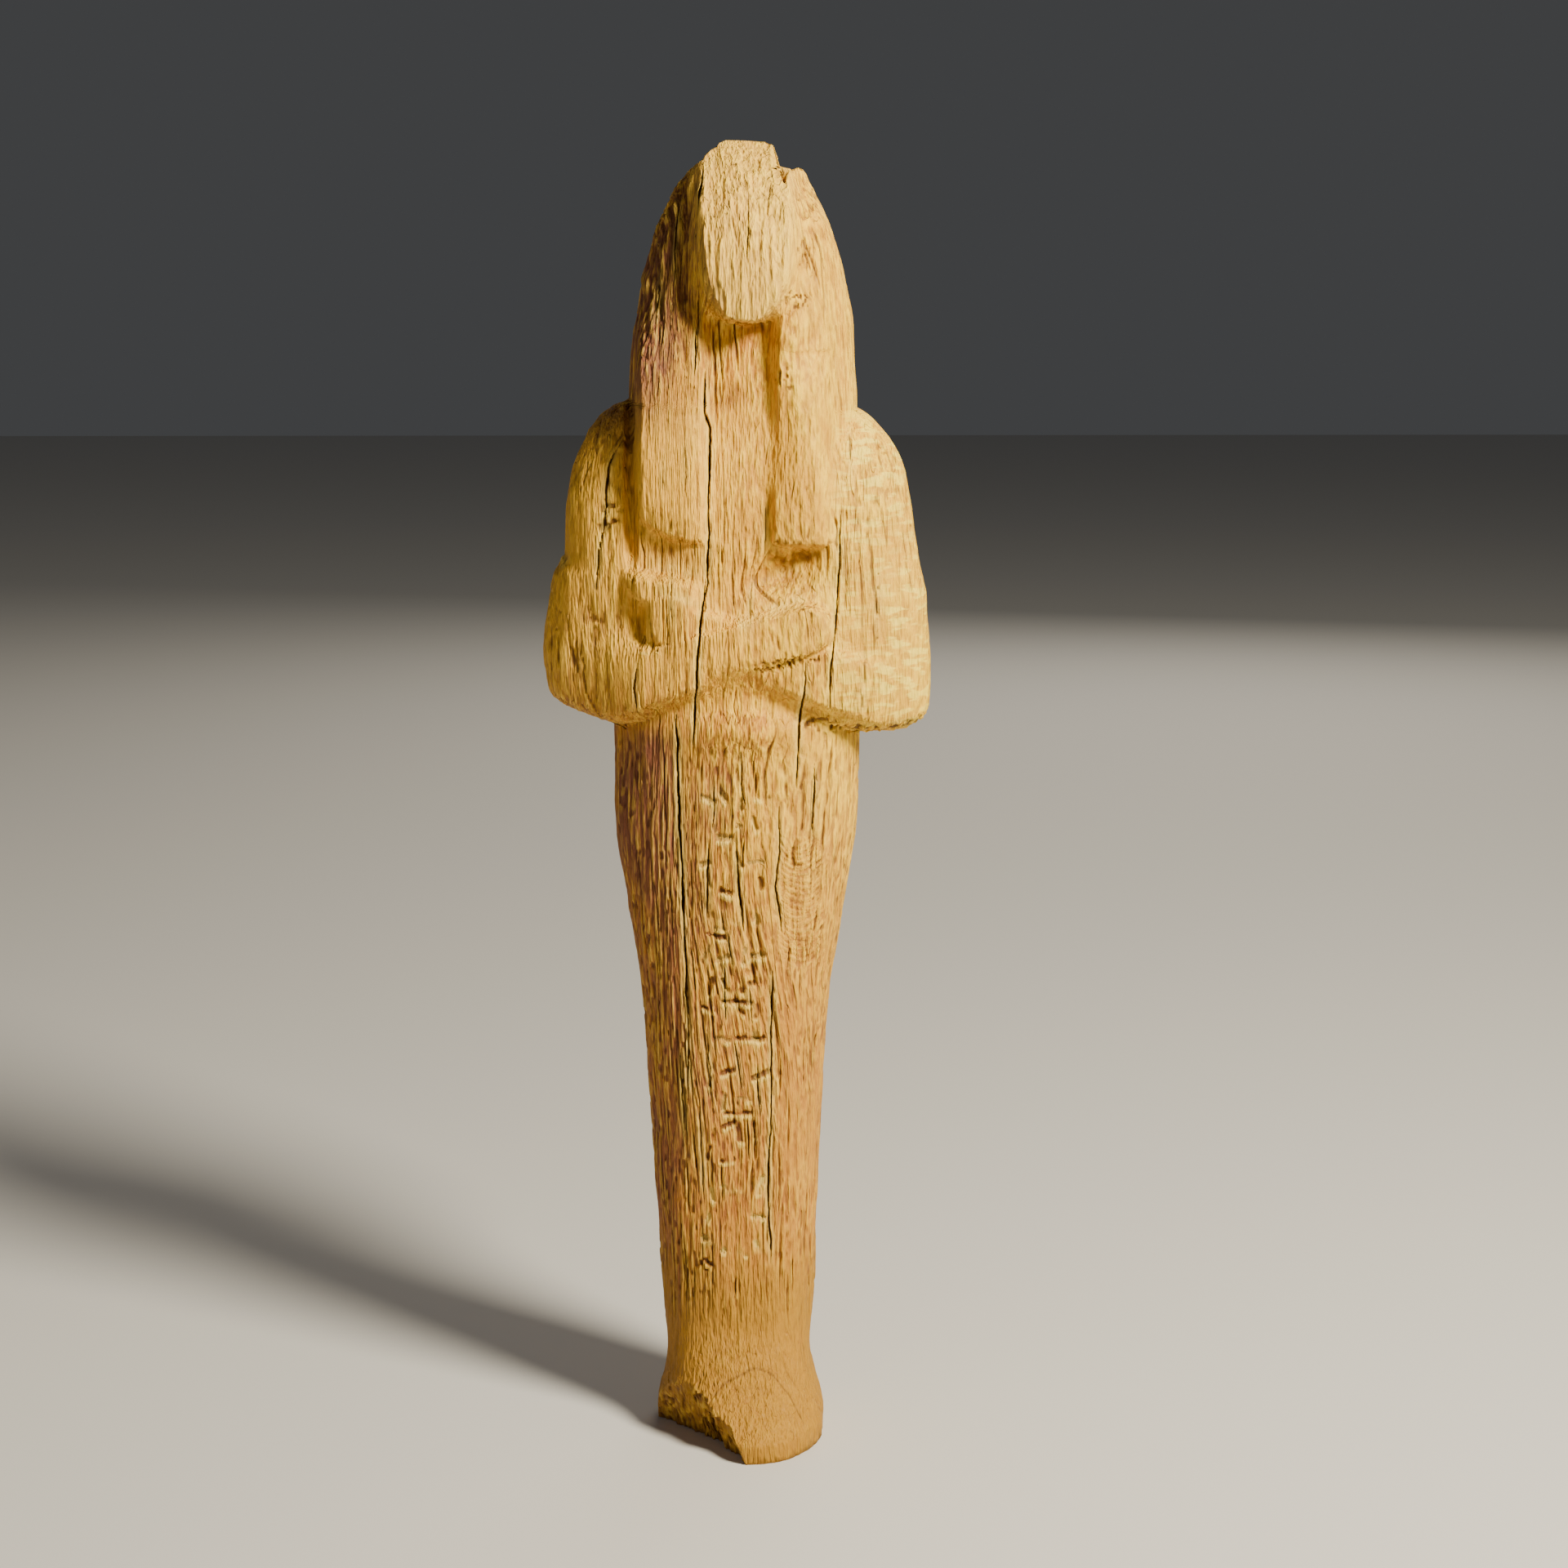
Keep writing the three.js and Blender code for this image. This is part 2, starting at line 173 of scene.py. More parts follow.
def through(stations, t, k=1):
    """Smooth curve through stations [t, a, b, ...] that never overshoots between them."""
    knots, values = stations[:, 0], stations[:, k]
    chord = np.diff(values) / np.diff(knots)
    both = chord[:-1] * chord[1:] > 0
    total = np.where(both, chord[:-1] + chord[1:], 1)
    inner = np.where(both, 2 * chord[:-1] * chord[1:] / total, 0)
    tangent = np.concatenate([chord[:1], inner, chord[-1:]])
    t = np.clip(t, knots[0], knots[-1])
    i = np.clip(np.searchsorted(knots, t, side="right") - 1, 0, len(knots) - 2)
    step = knots[i + 1] - knots[i]
    u = (t - knots[i]) / step
    a, b = values[i], values[i + 1]
    v, w = tangent[i] * step, tangent[i + 1] * step
    return a + u * (v + u * (3 * (b - a) - 2 * v - w + u * (v + w - 2 * (b - a))))


def near_line(x, z, start, end):
    """Distance to a line piece, and the share along it of the nearest point."""
    dx, dz = end[0] - start[0], end[1] - start[1]
    along = np.clip(((x - start[0]) * dx + (z - start[1]) * dz) / (dx * dx + dz * dz), 0, 1)
    return np.hypot(x - start[0] - along * dx, z - start[1] - along * dz), along


def lattice(ix, iy, iz, seed):
    """A fixed random number from -1 to 1 for each lattice point."""
    h = (ix.astype(np.uint32) * np.uint32(374761393) + iy.astype(np.uint32) * np.uint32(668265263)
         + iz.astype(np.uint32) * np.uint32(2147483647) + np.uint32(seed * 974634777 % 2**32))
    h = (h ^ (h >> np.uint32(13))) * np.uint32(1274126177)
    h = (h ^ (h >> np.uint32(16))) * np.uint32(2246822519)
    h = h ^ (h >> np.uint32(15))
    return h.astype(np.float32) / np.float32(2147483648.0) - np.float32(1)


def noise(x, y, z, seed):
    """Smooth lattice noise from -1 to 1."""
    x, y, z = np.broadcast_arrays(x, y, z)
    x0, y0, z0 = np.floor(x), np.floor(y), np.floor(z)
    fx, fy, fz = x - x0, y - y0, z - z0
    fx, fy, fz = (f * f * (3 - 2 * f) for f in (fx, fy, fz))
    ix, iy, iz = (v.astype(np.int32) for v in (x0, y0, z0))
    total = np.zeros(x.shape, np.float32)
    for cx in (0, 1):
        for cy in (0, 1):
            for cz in (0, 1):
                weight = (fx if cx else 1 - fx) * (fy if cy else 1 - fy) * (fz if cz else 1 - fz)
                total += weight * lattice(ix + cx, iy + cy, iz + cz, seed)
    return total


def noise_along(t, seed):
    """Smooth noise from -1 to 1 that changes in one direction only."""
    return noise(t, t * 0, t * 0, seed)


# ------------------------------------------------------------------ the masses

def outline(level, side):
    widths = [np.where((level >= low) & (level <= high), through(m, level, side), 0)
              for m, _, low, high in MASSES]
    return np.maximum.reduce(widths)


def mass_depth(x, level, face):
    """How far the plain masses stand forward (or back) of the figure's axis."""
    side = through(SIDE_LINE, level) * (-1 if face == FRONT else 1)
    best = np.full(np.broadcast(x, level).shape, -99.0)
    for stations, power, low, high in MASSES:
        half = np.where(x < 0, through(stations, level, LEFT), through(stations, level, RIGHT))
        depth = side + (through(stations, level, face) - side) * arch(x / half, power)
        best = np.where((level >= low) & (level <= high), np.maximum(best, depth), best)
    return best


# ------------------------------------------------------------------ the carving

def face_half(z):
    """Half-breadth of the face's oval at a height."""
    below = np.clip((FACE_WIDEST - z) / (FACE_WIDEST - CHIN), 0, 1)
    return FACE_HALF * arch(below, FACE_ROUND)


def carve_wig_front(x, z, depth):
    """The wig's recess beside the split face, and its swell on the other side."""
    recess = band(FACE_SIDE - 3.2, FACE_SIDE, 1.8, x) * band(CHIN, 209, 7, z)
    swell = band(8, 15, 5, x) * band(182, 206, 12, z)
    return depth - 1.1 * recess + 1.7 * swell


def carve_lappet(x, z, depth, low, high, soft_low, soft_high, foot, slant):
    """One front end of the wig; the one on the right is the softer and more worn."""
    middle, half = (low + high) / 2, (high - low) / 2
    if low > 0:
        soft_low = soft_low + 9 * ramp(157, 171, z)
    across = ramp(low - soft_low / 2, low + soft_low / 2, x)
    across = across * (1 - ramp(high - soft_high / 2, high + soft_high / 2, x))
    share = np.clip(np.abs(x - middle) / half, 0, 1.3)
    corner = np.clip((middle - x) / half, 0, 1.3) ** 3
    square = 0.9 if low < 0 else 0.3
    edge = foot + slant * (x - middle) + square * (share ** 4 + 1.4 * corner)
    blunt = 0.9 if low < 0 else 0.1
    sunk = 0 if low < 0 else 1.2 * ramp(158, 172, z)
    down = ramp(edge - 0.5, edge + 0.4 + blunt, z) * (1 - ramp(172, 196, z))
    plane = through(LAPPET_FACE, z) - sunk - 0.8 * share ** 2
    plane = plane - blunt * (1 - ramp(edge, edge + 5, z))
    return depth + np.maximum(0, plane - depth) * across * down


def carve_neck(x, z, depth):
    """The hollow between the lappets, up to the lower edge of the face's oval."""
    jaw = FACE_WIDEST - (FACE_WIDEST - CHIN) * arch((x - FACE_MIDDLE) / FACE_HALF, FACE_ROUND)
    hollow = band(-4.6, 5.8, 2.2, x) * (1 - ramp(jaw - 0.2, jaw + 1.2, z)) * ramp(158, 172, z)
    return depth + (np.minimum(depth, through(NECK, z)) - depth) * hollow


def carve_chest(x, z, depth):
    """Hollows under the ends of the lappets, and the swell of the belly under the arms."""
    left = np.exp(-((x + 11.5) / 4.5) ** 2) * band(146.5, 151.8, 3.0, z)
    right = np.exp(-((x - 8.5) / 5.5) ** 2) * band(144.0, 150.6, 3.5, z)
    under = 1 - ramp(-1.2, 1.2, z - through(ARMS_EDGE, x))
    belly = np.exp(-((z - 121.3) / 3.0) ** 2) * np.exp(-((x - 0.5) / 11) ** 2) * under
    return depth - 0.9 * left - 0.9 * right + 1.7 * belly


def carve_face(x, z, depth):
    """The plane that the split left, standing forward of the wig."""
    half = face_half(z)
    edge = np.abs(x - FACE_MIDDLE)
    inside = 1 - ramp(half - 0.8, half - 0.2 + FACE_SOFT, edge)
    inside = inside * ramp(CHIN - 0.5, CHIN + 0.7, z)
    plane = through(FACE_PLANE, z) - 0.35 * (edge / FACE_HALF) ** 2
    return depth + np.maximum(0, plane - depth) * inside


# Forearms as lines on the chest: from, to, half-breadths, rise. The second lies on top.
FOREARMS = [
    ((27, 125.6), (-8, 137.6), (5.6, 4.6), 1.7),
    ((-26, 127.2), (10.8, 138), (6.2, 4.6), 3.1),
]

# The clenched hand, as two blunt blocks: middle, half-breadths, rise. Knuckles, then palm.
FIST = [(-11.8, 144.0, 6.6, 2.8, 2.6), (-10.6, 139.6, 4.7, 6.0, 3.0)]


def carve_arms(x, z, depth):
    """The crossed forearms and the fist, with the hollows beside and above them."""
    rise = np.zeros_like(depth)
    soft = np.exp(-(x / 5.5) ** 2) * (1 - ramp(134, 138, z))
    soft = np.maximum(soft, (1 - ramp(-17, -12, x)) * ramp(128, 132, z))
    for start, end, (half_a, half_b), height in FOREARMS:
        away, along = near_line(x, z, start, end)
        half = half_a + (half_b - half_a) * along
        edge = 1 - ramp(0.7 - 0.4 * soft, 1.08 + 0.55 * soft, away / half)
        rise = np.maximum(rise, height * ramp(0, 0.35, along) * edge)
    fist = np.zeros_like(depth)
    for across, up, wide, high, tall in FIST:
        rise_at = z - up + 0.2 * (x - across)
        reach = (np.abs((x - across) / wide) ** 4 + np.abs(rise_at / high) ** 4) ** 0.25
        fist = np.maximum(fist, tall * (1 - ramp(0.55, 1.2, reach)))
    wall = -15.1 - 0.95 * np.clip(z - 141.6, 0, 4.5)
    fist = fist * (1 - 0.75 * ramp(-9.5, -3.5, x)) * ramp(-0.5, 0.7, x - wall)
    rise = np.maximum(rise, fist)
    beside = ramp(-0.5, 0.6, wall - x) * (1 - ramp(0.3, 3.2, wall - x))
    foot = 134.8 + 0.3 * np.clip(wall - x, 0, 4)
    hollow = 0.9 * beside * ramp(foot, foot + 1.6, z) * (1 - ramp(139.0, 145.0, z))
    trough = np.exp(-((z - 146.6 - 0.35 * (x - 5)) / 2.9) ** 2)
    trough = 2.3 * trough * ramp(-4, 6, x) * (1 - ramp(10, 16, x))
    middle = 1 - 0.70 * np.exp(-((x + 1) / 6.0) ** 2) * (1 - ramp(126, 134, z))
    return depth + rise * middle - hollow - trough


def front_depth(x, level, z):
    """How far the carved front stands forward of the figure's axis."""
    depth = carve_chest(x, z, mass_depth(x, level, FRONT))
    depth = np.where(z > 182, carve_wig_front(x, z, depth), depth)
    lappets = depth
    for lappet in LAPPETS:
        lappets = carve_lappet(x, z, lappets, *lappet)
    lappets = lappets + 1.7 * np.exp(-((x - 7.2) / 4.4) ** 2) * band(173, 189, 10, z)
    groove = (1 - ramp(0.1, 1, np.abs(x + 17.1) / 1.4)) * band(149, 178, 4, z)
    depth = np.where(z > 147, lappets - 1.5 * groove, depth)
    depth = np.where(z > 158, carve_neck(x, z, depth), depth)
    depth = np.where(z > CHIN - 1, carve_face(x, z, depth), depth)
    return np.where(level > ARMS_LEVEL - 0.5, carve_arms(x, z, depth), depth)


# ------------------------------------------------------------------ the grid of the block

def row_levels():
    levels, start = [0.0], 0.0
    for top, spacing in ROW_BANDS:
        rows = max(1, round((top - start) / spacing))
        levels += list(start + (top - start) * np.arange(1, rows + 1) / rows)
        start = top
    return np.array(levels)


def height_at(x, level):
    near = np.maximum(0, 1 - ((level - ARMS_LEVEL) / 12) ** 2) ** 2
    peak = 0.45 * np.exp(-((x - 9.7) / 1.1) ** 2) * band(208.6, 210.6, 1.6, level)
    return level + (through(ARMS_EDGE, x) - ARMS_LEVEL) * near + peak


def across_at(share, level):
    """Columns run straight up behind the wig's edge, and close up towards the side line."""
    half = np.where(share < 0, outline(level, LEFT), outline(level, RIGHT))
    inner = np.minimum(WIG_EDGE, 0.86 * half)
    s = np.abs(share)
    outer = np.clip((s - INNER_SHARE) / (1 - INNER_SHARE), 0, 1)
    beyond = inner + (half - inner) * np.sin(outer * math.pi / 2)
    return np.sign(share) * np.where(s <= INNER_SHARE, inner * s / INNER_SHARE, beyond)


def block_grid():
    """Points of the carved block before wear, one row a level, and the level of each row."""
    level = row_levels()[:, None]
    front = 2 * np.arange(COLUMNS_FRONT)[None, :] / COLUMNS_FRONT - 1
    back = 1 - 2 * np.arange(COLUMNS_BACK)[None, :] / COLUMNS_BACK
    x_front, x_back = across_at(front, level), across_at(back, level)
    z_front, z_back = height_at(x_front, level), height_at(x_back, level)
    y_front = -front_depth(x_front, level + 0 * x_front, z_front)
    y_back = mass_depth(x_back, level + 0 * x_back, BACK)
    points = np.stack([np.concatenate([x_front, x_back], 1), np.concatenate([y_front, y_back], 1),
                       np.concatenate([z_front, z_back], 1)], -1)
    return points, level[:, 0]


def grid_normals(points):
    around = np.roll(points, -1, 1) - np.roll(points, 1, 1)
    up = np.gradient(points, axis=0)
    normal = np.cross(around, up)
    return normal / np.maximum(np.linalg.norm(normal, axis=-1, keepdims=True), 1e-9)


# ------------------------------------------------------------------ what time took away

# The lost corner of the foot: the line of the break on the ground, from left to front.
FOOT_BREAK = np.array([[-15.5, -1.2], [-13.3, -2.2], [-11.4, -3.8], [-7.8, -8], [-5.6, -10],
                       [-2.9, -13.3], [-1.6, -16.6], [0.1, -18.8], [0.9, -22.2], [1.6, -26]])
FOOT_BREAK_TOP = 18
FOOT_BREAK_LEAN = (-0.34, -0.30)
FOOT_CENTRE = (6.0, -4.0)
NOTCH = {"x": 7.5, "bottom": 208.2, "slope": 5.0}


def break_foot(points):
    """Pulls what stood in front of the break back onto its rough upright face."""
    x, y, z = points[..., 0], points[..., 1], points[..., 2]
    shift_x, shift_y = FOOT_BREAK_LEAN[0] * z, FOOT_BREAK_LEAN[1] * z
    dx, dy = x - shift_x - FOOT_CENTRE[0], y - shift_y - FOOT_CENTRE[1]
    turn = np.mod(np.arctan2(dy, dx), 2 * math.pi)
    edge = FOOT_BREAK - np.array(FOOT_CENTRE)
    edge_turn = np.mod(np.arctan2(edge[:, 1], edge[:, 0]), 2 * math.pi)
    reach = np.interp(turn, edge_turn, np.hypot(edge[:, 0], edge[:, 1]), left=99, right=99)
    torn = 0.35 * noise(turn * 6, turn * 0, z / 9, 41)
    torn = torn + 0.30 * noise(turn * 19, turn * 0, z / 5, 42)
    reach = reach + torn + 0.22 * noise(turn * 50, turn * 0, z / 2.5, 43)
    radius = np.hypot(dx, dy)
    lost = (radius > reach) & (z < FOOT_BREAK_TOP)
    share = np.where(lost, reach / np.maximum(radius, 1e-6), 1)
    points[..., 0] = FOOT_CENTRE[0] + shift_x + dx * share
    points[..., 1] = FOOT_CENTRE[1] + shift_y + dy * share
    return lost


def notch_crown(points):
    """A split runs down into the crown, and leaves a second peak beside it."""
    x, z = points[..., 0], points[..., 2]
    away = x - NOTCH["x"]
    slope = np.where(away < 0, NOTCH["slope"], 0.6 * NOTCH["slope"])
    floor = NOTCH["bottom"] + slope * np.maximum(0, np.abs(away) - 0.12)
    points[..., 2] = np.where(z > NOTCH["bottom"], np.minimum(z, floor), z)


# ------------------------------------------------------------------ the wood

# The heart of the tree stood in front of the figure; its year rings cross the instep.
PITH = (3.5, -28.0)
GIRTH = 16.0


def run_of_grain(x, y, z):
    """How far the fibres have swayed sideways by the time they reach a point."""
    lean = 6.0 * ramp(45, 105, z) * ramp(-14, -6, x) * (1 - ramp(0, 18, x))
    return lean + 0.9 * noise(x / 24, y / 24, z / 40, 11) + 0.25 * noise(x / 7, y / 7, z / 13, 13)


def seam(field, width):
    """Narrow lines where a field passes through nothing."""
    return np.clip(1 - np.abs(field) / width, 0, 1)


def weathering(x, y, z):
    """How far the soft wood has gone: 0 smooth, 1 deeply fibrous."""
    legs = band(22, 118, 8, z)
    left = (1 - ramp(-14, 8, x)) * (0.35 + 0.65 * legs)
    wig = ramp(165, 195, z) * (1 - ramp(-9, -4, x))
    patches = 0.28 * noise(x / 9, y / 9, z / 17, 21) + 0.15 * noise(x / 3, y / 3, z / 8, 22)
    amount = 0.20 + 0.22 * left + 0.34 * legs * (0.45 + 0.55 * left) + 0.35 * wig + patches
    back = ramp(2, 10, y)
    amount = amount * (1 - 0.35 * back)
    foot = 1 - ramp(14, 26, z)
    return np.clip(amount * (1 - 0.55 * foot), 0.03, 1)


def add_grain(sheet):
    """Carved unevenness, then fibres, furrows and pits, each in the run of the wood."""
    x, y, z, rough = sheet.x, sheet.y, sheet.z, sheet.rough
    sheet.shift = run_of_grain(x, y, z)
    u, v = x + sheet.shift, 0.5 * (y + 0.5 * sheet.shift)
    sheet.girth = np.hypot(x, y)
    sheet.around = (np.arctan2(x, -y) + sheet.shift / np.maximum(sheet.girth, 4)) * GIRTH
    relief = 0.22 * noise(x / 6.5, y / 6.5, z / 13, 31) + 0.10 * noise(x / 2.6, y / 2.6, z / 6, 32)
    fine = noise(u / 0.40, v / 0.40, z / 6, 33)
    middle = noise(u / 0.95, v / 0.95, z / 13, 34)
    broad = noise(u / 2.3, v / 2.3, z / 24, 35)
    relief += (0.06 + 0.15 * rough) * fine + (0.03 + 0.13 * rough) * middle
    relief += (0.04 + 0.09 * rough) * broad
    furrow = seam(noise(u / 1.0, v / 1.0, z / 90, 36) + 0.10 * middle, 0.20)
    furrow = furrow * ramp(-0.1, 0.35, noise(u / 1.2, v / 1.2, z / 7, 37))
    relief -= (0.06 + 0.30 * rough) * furrow
    pit = ramp(0.25, 0.6, noise(u / 0.45, v / 0.45, z / 1.6, 40))
    relief -= (0.03 + 0.22 * rough) * pit
    sheet.relief += relief
    sheet.dark = np.maximum(sheet.dark, 0.28 * rough * np.maximum(furrow, pit))


CHECKS = 420
CHECKS_SEED = 17


def add_checks(sheet):
    """Small drying checks: upright cuts along the rays, most where the wood is weathered."""
    chance = np.random.default_rng(CHECKS_SEED)
    for number in range(CHECKS):
        on_front = chance.random() < 0.72
        part = slice(0, COLUMNS_FRONT) if on_front else slice(COLUMNS_FRONT, None)
        low = chance.uniform(16, HEIGHT - 16)
        length = 3.5 * (5.5 ** chance.random())
        if on_front:
            at = chance.uniform(-24, 24)
        else:
            at = chance.choice([-1, 1]) * chance.uniform(27, 49)
        width, depth = chance.uniform(0.10, 0.26), chance.uniform(0.25, 0.85)
        on_right_lappet = on_front and 5 < at < 12 and 150 < low < 172
        if on_right_lappet:
            continue
        rows = rows_between(sheet, low, low + length)
        z, around = sheet.z[rows, part], sheet.around[rows, part]
        lean = chance.uniform(-0.02, 0.02)
        wander = 0.14 * noise_along(z / 2.2, 300 + number)
        away = np.abs(around - at - lean * (z - low) - wander) * sheet.girth[rows, part] / GIRTH
        taper = np.clip(np.minimum(z - low, low + length - z) / (0.3 * length), 0, 1) ** 0.7
        cut = np.clip(1 - away / (width * taper + 1e-6), 0, 1) ** 0.7
        strength = (0.25 + 0.75 * sheet.rough[rows, part]) * taper
        sheet.relief[rows, part] -= depth * strength * cut
        sheet.dark[rows, part] = np.maximum(sheet.dark[rows, part], 0.9 * strength * cut)


# ------------------------------------------------------------------ splits and strokes

# Open splits down the front: half width, depth, and the line they follow from the top down.
SPLITS = [
    (0.20, 2.4, [(-9.9, 124.3), (-9.8, 114), (-9.5, 104), (-9.2, 95), (-8.8, 86)]),
    (0.13, 1.2, [(-9.0, 92), (-8.8, 84), (-8.5, 75), (-8.2, 60)]),
    (0.17, 2.0, [(-4.9, 179), (-5.0, 172.4), (-4.3, 170), (-4.5, 162), (-4.7, 145.5),
                 (-5.4, 142.3)]),
    (0.20, 2.2, [(-5.0, 146), (-5.9, 138), (-6.4, 133), (-6.7, 128), (-7.2, 119)]),
    (0.16, 1.4, [(-6.4, 186), (-6.7, 178)]),
    (0.16, 1.3, [(-19, 167), (-20.7, 163.7), (-21.0, 158.7), (-21.4, 154.3), (-22.2, 150),
                 (-22.7, 144)]),
    (0.15, 1.2, [(16.5, 157), (16.2, 145.5), (15.7, 138.4), (14.9, 131.8), (14.6, 125)]),
    (0.16, 1.3, [(10.9, 133), (10.6, 128.4), (10.0, 123.2), (9.7, 118), (9.5, 112)]),
    (0.14, 1.0, [(-16.1, 133.6), (-16.5, 128.3), (-16.2, 124.2)]),
    (0.16, 1.0, [(5.6, 82), (5.2, 68), (5.3, 54), (5.0, 50.4), (4.9, 42), (5.2, 31)]),
    (0.14, 0.9, [(-3.8, 113), (-4.2, 104.5)]),
    (0.16, 1.2, [(-4.9, 103.5), (-5.1, 97), (-5.2, 90)]),
    (0.17, 1.3, [(-0.4, 104), (0.0, 97), (0.8, 88)]),
    (0.14, 1.0, [(0.4, 118.5), (0.5, 112), (1.4, 108.5)]),
    (0.14, 0.9, [(6.5, 109.5), (6.6, 101.6), (6.1, 95.7), (7.0, 88)]),
    (0.12, 0.8, [(12.5, 116), (12.2, 103)]),
    (0.16, 1.0, [(-2.8, 92.5), (-2.4, 88)]),
    (0.18, 1.1, [(-1.8, 88.4), (-0.9, 82.5)]),
    (0.14, 0.9, [(-2.4, 85), (-2.2, 73)]),
    (0.14, 0.9, [(1.6, 80), (2.2, 73)]),
    (0.13, 0.8, [(-5.3, 72), (-4.6, 60)]),
    (0.14, 0.9, [(-0.8, 70), (0.4, 61)]),
    (0.14, 0.8, [(2.9, 66), (3.4, 57)]),
    (0.12, 0.7, [(-9.6, 68), (-9.2, 52)]),
    (0.12, 0.7, [(-6.6, 58), (-6.0, 42)]),
    (0.12, 0.7, [(2.0, 206.5), (1.5, 196)]),
    (0.14, 0.9, [(5.5, 208.5), (4.8, 203)]),
    (0.14, 0.8, [(7.2, 205), (7.5, 202)]),
    (0.18, 1.4, [(-5.2, 212.0), (-6.2, 207), (-6.4, 202)]),
    (0.14, 0.9, [(-9.2, 206), (-9.9, 198), (-9.6, 192)]),
    (0.12, 0.8, [(-12.2, 196), (-12.8, 186)]),
    (0.12, 0.7, [(-11.6, 166), (-11.9, 160)]),
    (0.10, 0.6, [(-8.1, 168), (-8.3, 160)]),
    (0.11, 0.7, [(-10.6, 149), (-10.4, 138)]),
    (0.11, 0.7, [(2.2, 147), (1.9, 137)]),
    (0.10, 0.6, [(4.6, 158), (4.3, 150)]),
    (0.10, 0.6, [(18.0, 171), (18.4, 160)]),
    (0.10, 0.6, [(22.6, 147), (22.4, 136)]),
    (0.10, 0.6, [(20.3, 133), (20.0, 124)]),
]


ROW_MARGIN = 6


def open_split(sheet, half, depth, line, seed):
    """A drying split: ragged, deep, narrowing to nothing at both ends."""
    xs = np.array([p[0] for p in line][::-1])
    zs = np.array([p[1] for p in line][::-1])
    part = (rows_between(sheet, zs[0], zs[-1]), slice(0, COLUMNS_FRONT))
    x, z = sheet.x[part], sheet.z[part]
    wander = 0.13 * noise_along(z / 3.4, seed) + 0.05 * noise_along(z / 0.8, seed + 1)
    away = np.abs(x - np.interp(z, zs, xs) - wander)
    taper = np.clip(np.minimum(z - zs[0], zs[-1] - z) / 5, 0, 1) ** 0.5
    width = half * taper * (1 + 0.45 * noise_along(z / 3.1, seed + 2)) + 1e-6
    cut = np.clip(1 - away / width, 0, 1) ** 0.55
    lips = np.clip(1.25 - away / (width + 0.60), 0, 1) * taper
    sheet.sink[part] = np.maximum(sheet.sink[part], depth * taper * cut)
    sheet.dark[part] = np.maximum(sheet.dark[part], np.minimum(1, 1.6 * cut))
    bare = min(0.9, 0.1 + half / 0.3) * lips * (cut < 0.05)
    sheet.pale[part] = np.maximum(sheet.pale[part], bare)


def rows_between(sheet, low, high):
    """The rows of the grid that a mark between two heights can reach."""
    inside = np.nonzero((sheet.level > low - ROW_MARGIN) & (sheet.level < high + ROW_MARGIN))[0]
    return slice(inside[0], inside[-1] + 1)


def cut_stroke(sheet, start, end, half, depth, pale=0.0):
    """One worn, ragged knife stroke on the front, with a paler lower lip: a painted highlight
    where the light from above falls on it.
    """
    rows = rows_between(sheet, min(start[1], end[1]), max(start[1], end[1]))
    part = (rows, slice(0, COLUMNS_FRONT))
    x, z = sheet.x[part], sheet.z[part]
    wander = 0.22 * noise(x / 1.1, z / 1.1, x * 0, 51)
    away, _ = near_line(x + wander, z + wander, start, end)
    low, _ = near_line(x, z + 0.75 * half + 0.25, start, end)
    broken = ramp(-0.55, 0.1, noise(x / 1.5, z / 1.5, x * 0, 53))
    cut = broken * (1 - ramp(0.2, 1.0, away / half))
    lit_lip = broken * (1 - ramp(0.2, 0.9, low / half)) * (cut < 0.3)
    sheet.relief[part] -= depth * cut - 0.25 * depth * lit_lip
    sheet.pale[part] = np.maximum(sheet.pale[part], np.maximum(0.7 * lit_lip, pale * cut))
    sheet.dark[part] = np.maximum(sheet.dark[part], (0.45 - 0.45 * pale) * cut)


WRITING_TOP, WRITING_FOOT, WRITING_ROW = 113.0, 29.0, 5.1
WRITING_COLUMNS = (-4.9, -2.2, 0.6, 3.1)
WRITING_SEED = 29
WORN_BARS = 4


def cut_writing(sheet):
    """Rows of shallow strokes where the column of writing stood: no signs, only strokes."""
    chance = np.random.default_rng(WRITING_SEED)
    rows = int((WRITING_TOP - WRITING_FOOT) / WRITING_ROW)
    for row in range(rows):
        level = WRITING_TOP - (row + 0.5) * WRITING_ROW
        pale = 0.9 if level < 48 else 0.45 * (chance.random() < 0.4)
        for x in WRITING_COLUMNS:
            x, z = x + chance.uniform(-0.7, 0.7), level + chance.uniform(-1.3, 1.3)
            if chance.random() < 0.25:
                continue
            flat = chance.random() < 0.45
            turn = math.radians(chance.uniform(-24, 24) + (0 if flat else 90))
            long = chance.uniform(0.7, 1.5) if flat else chance.uniform(0.6, 1.3)
            dx, dz = long * math.cos(turn), long * math.sin(turn)
            half, depth = chance.uniform(0.50, 0.88), chance.uniform(0.30, 0.58)
            cut_stroke(sheet, (x - dx, z - dz), (x + dx, z + dz), half, depth, pale)
    for _ in range(WORN_BARS):
        x, z = chance.uniform(-4, 2), chance.uniform(WRITING_FOOT + 20, WRITING_TOP - 8)
        long = chance.uniform(1.5, 2.4)
        cut_stroke(sheet, (x - long, z), (x + long, z - 0.2), 0.6, 0.55)


# ------------------------------------------------------------------ local damage

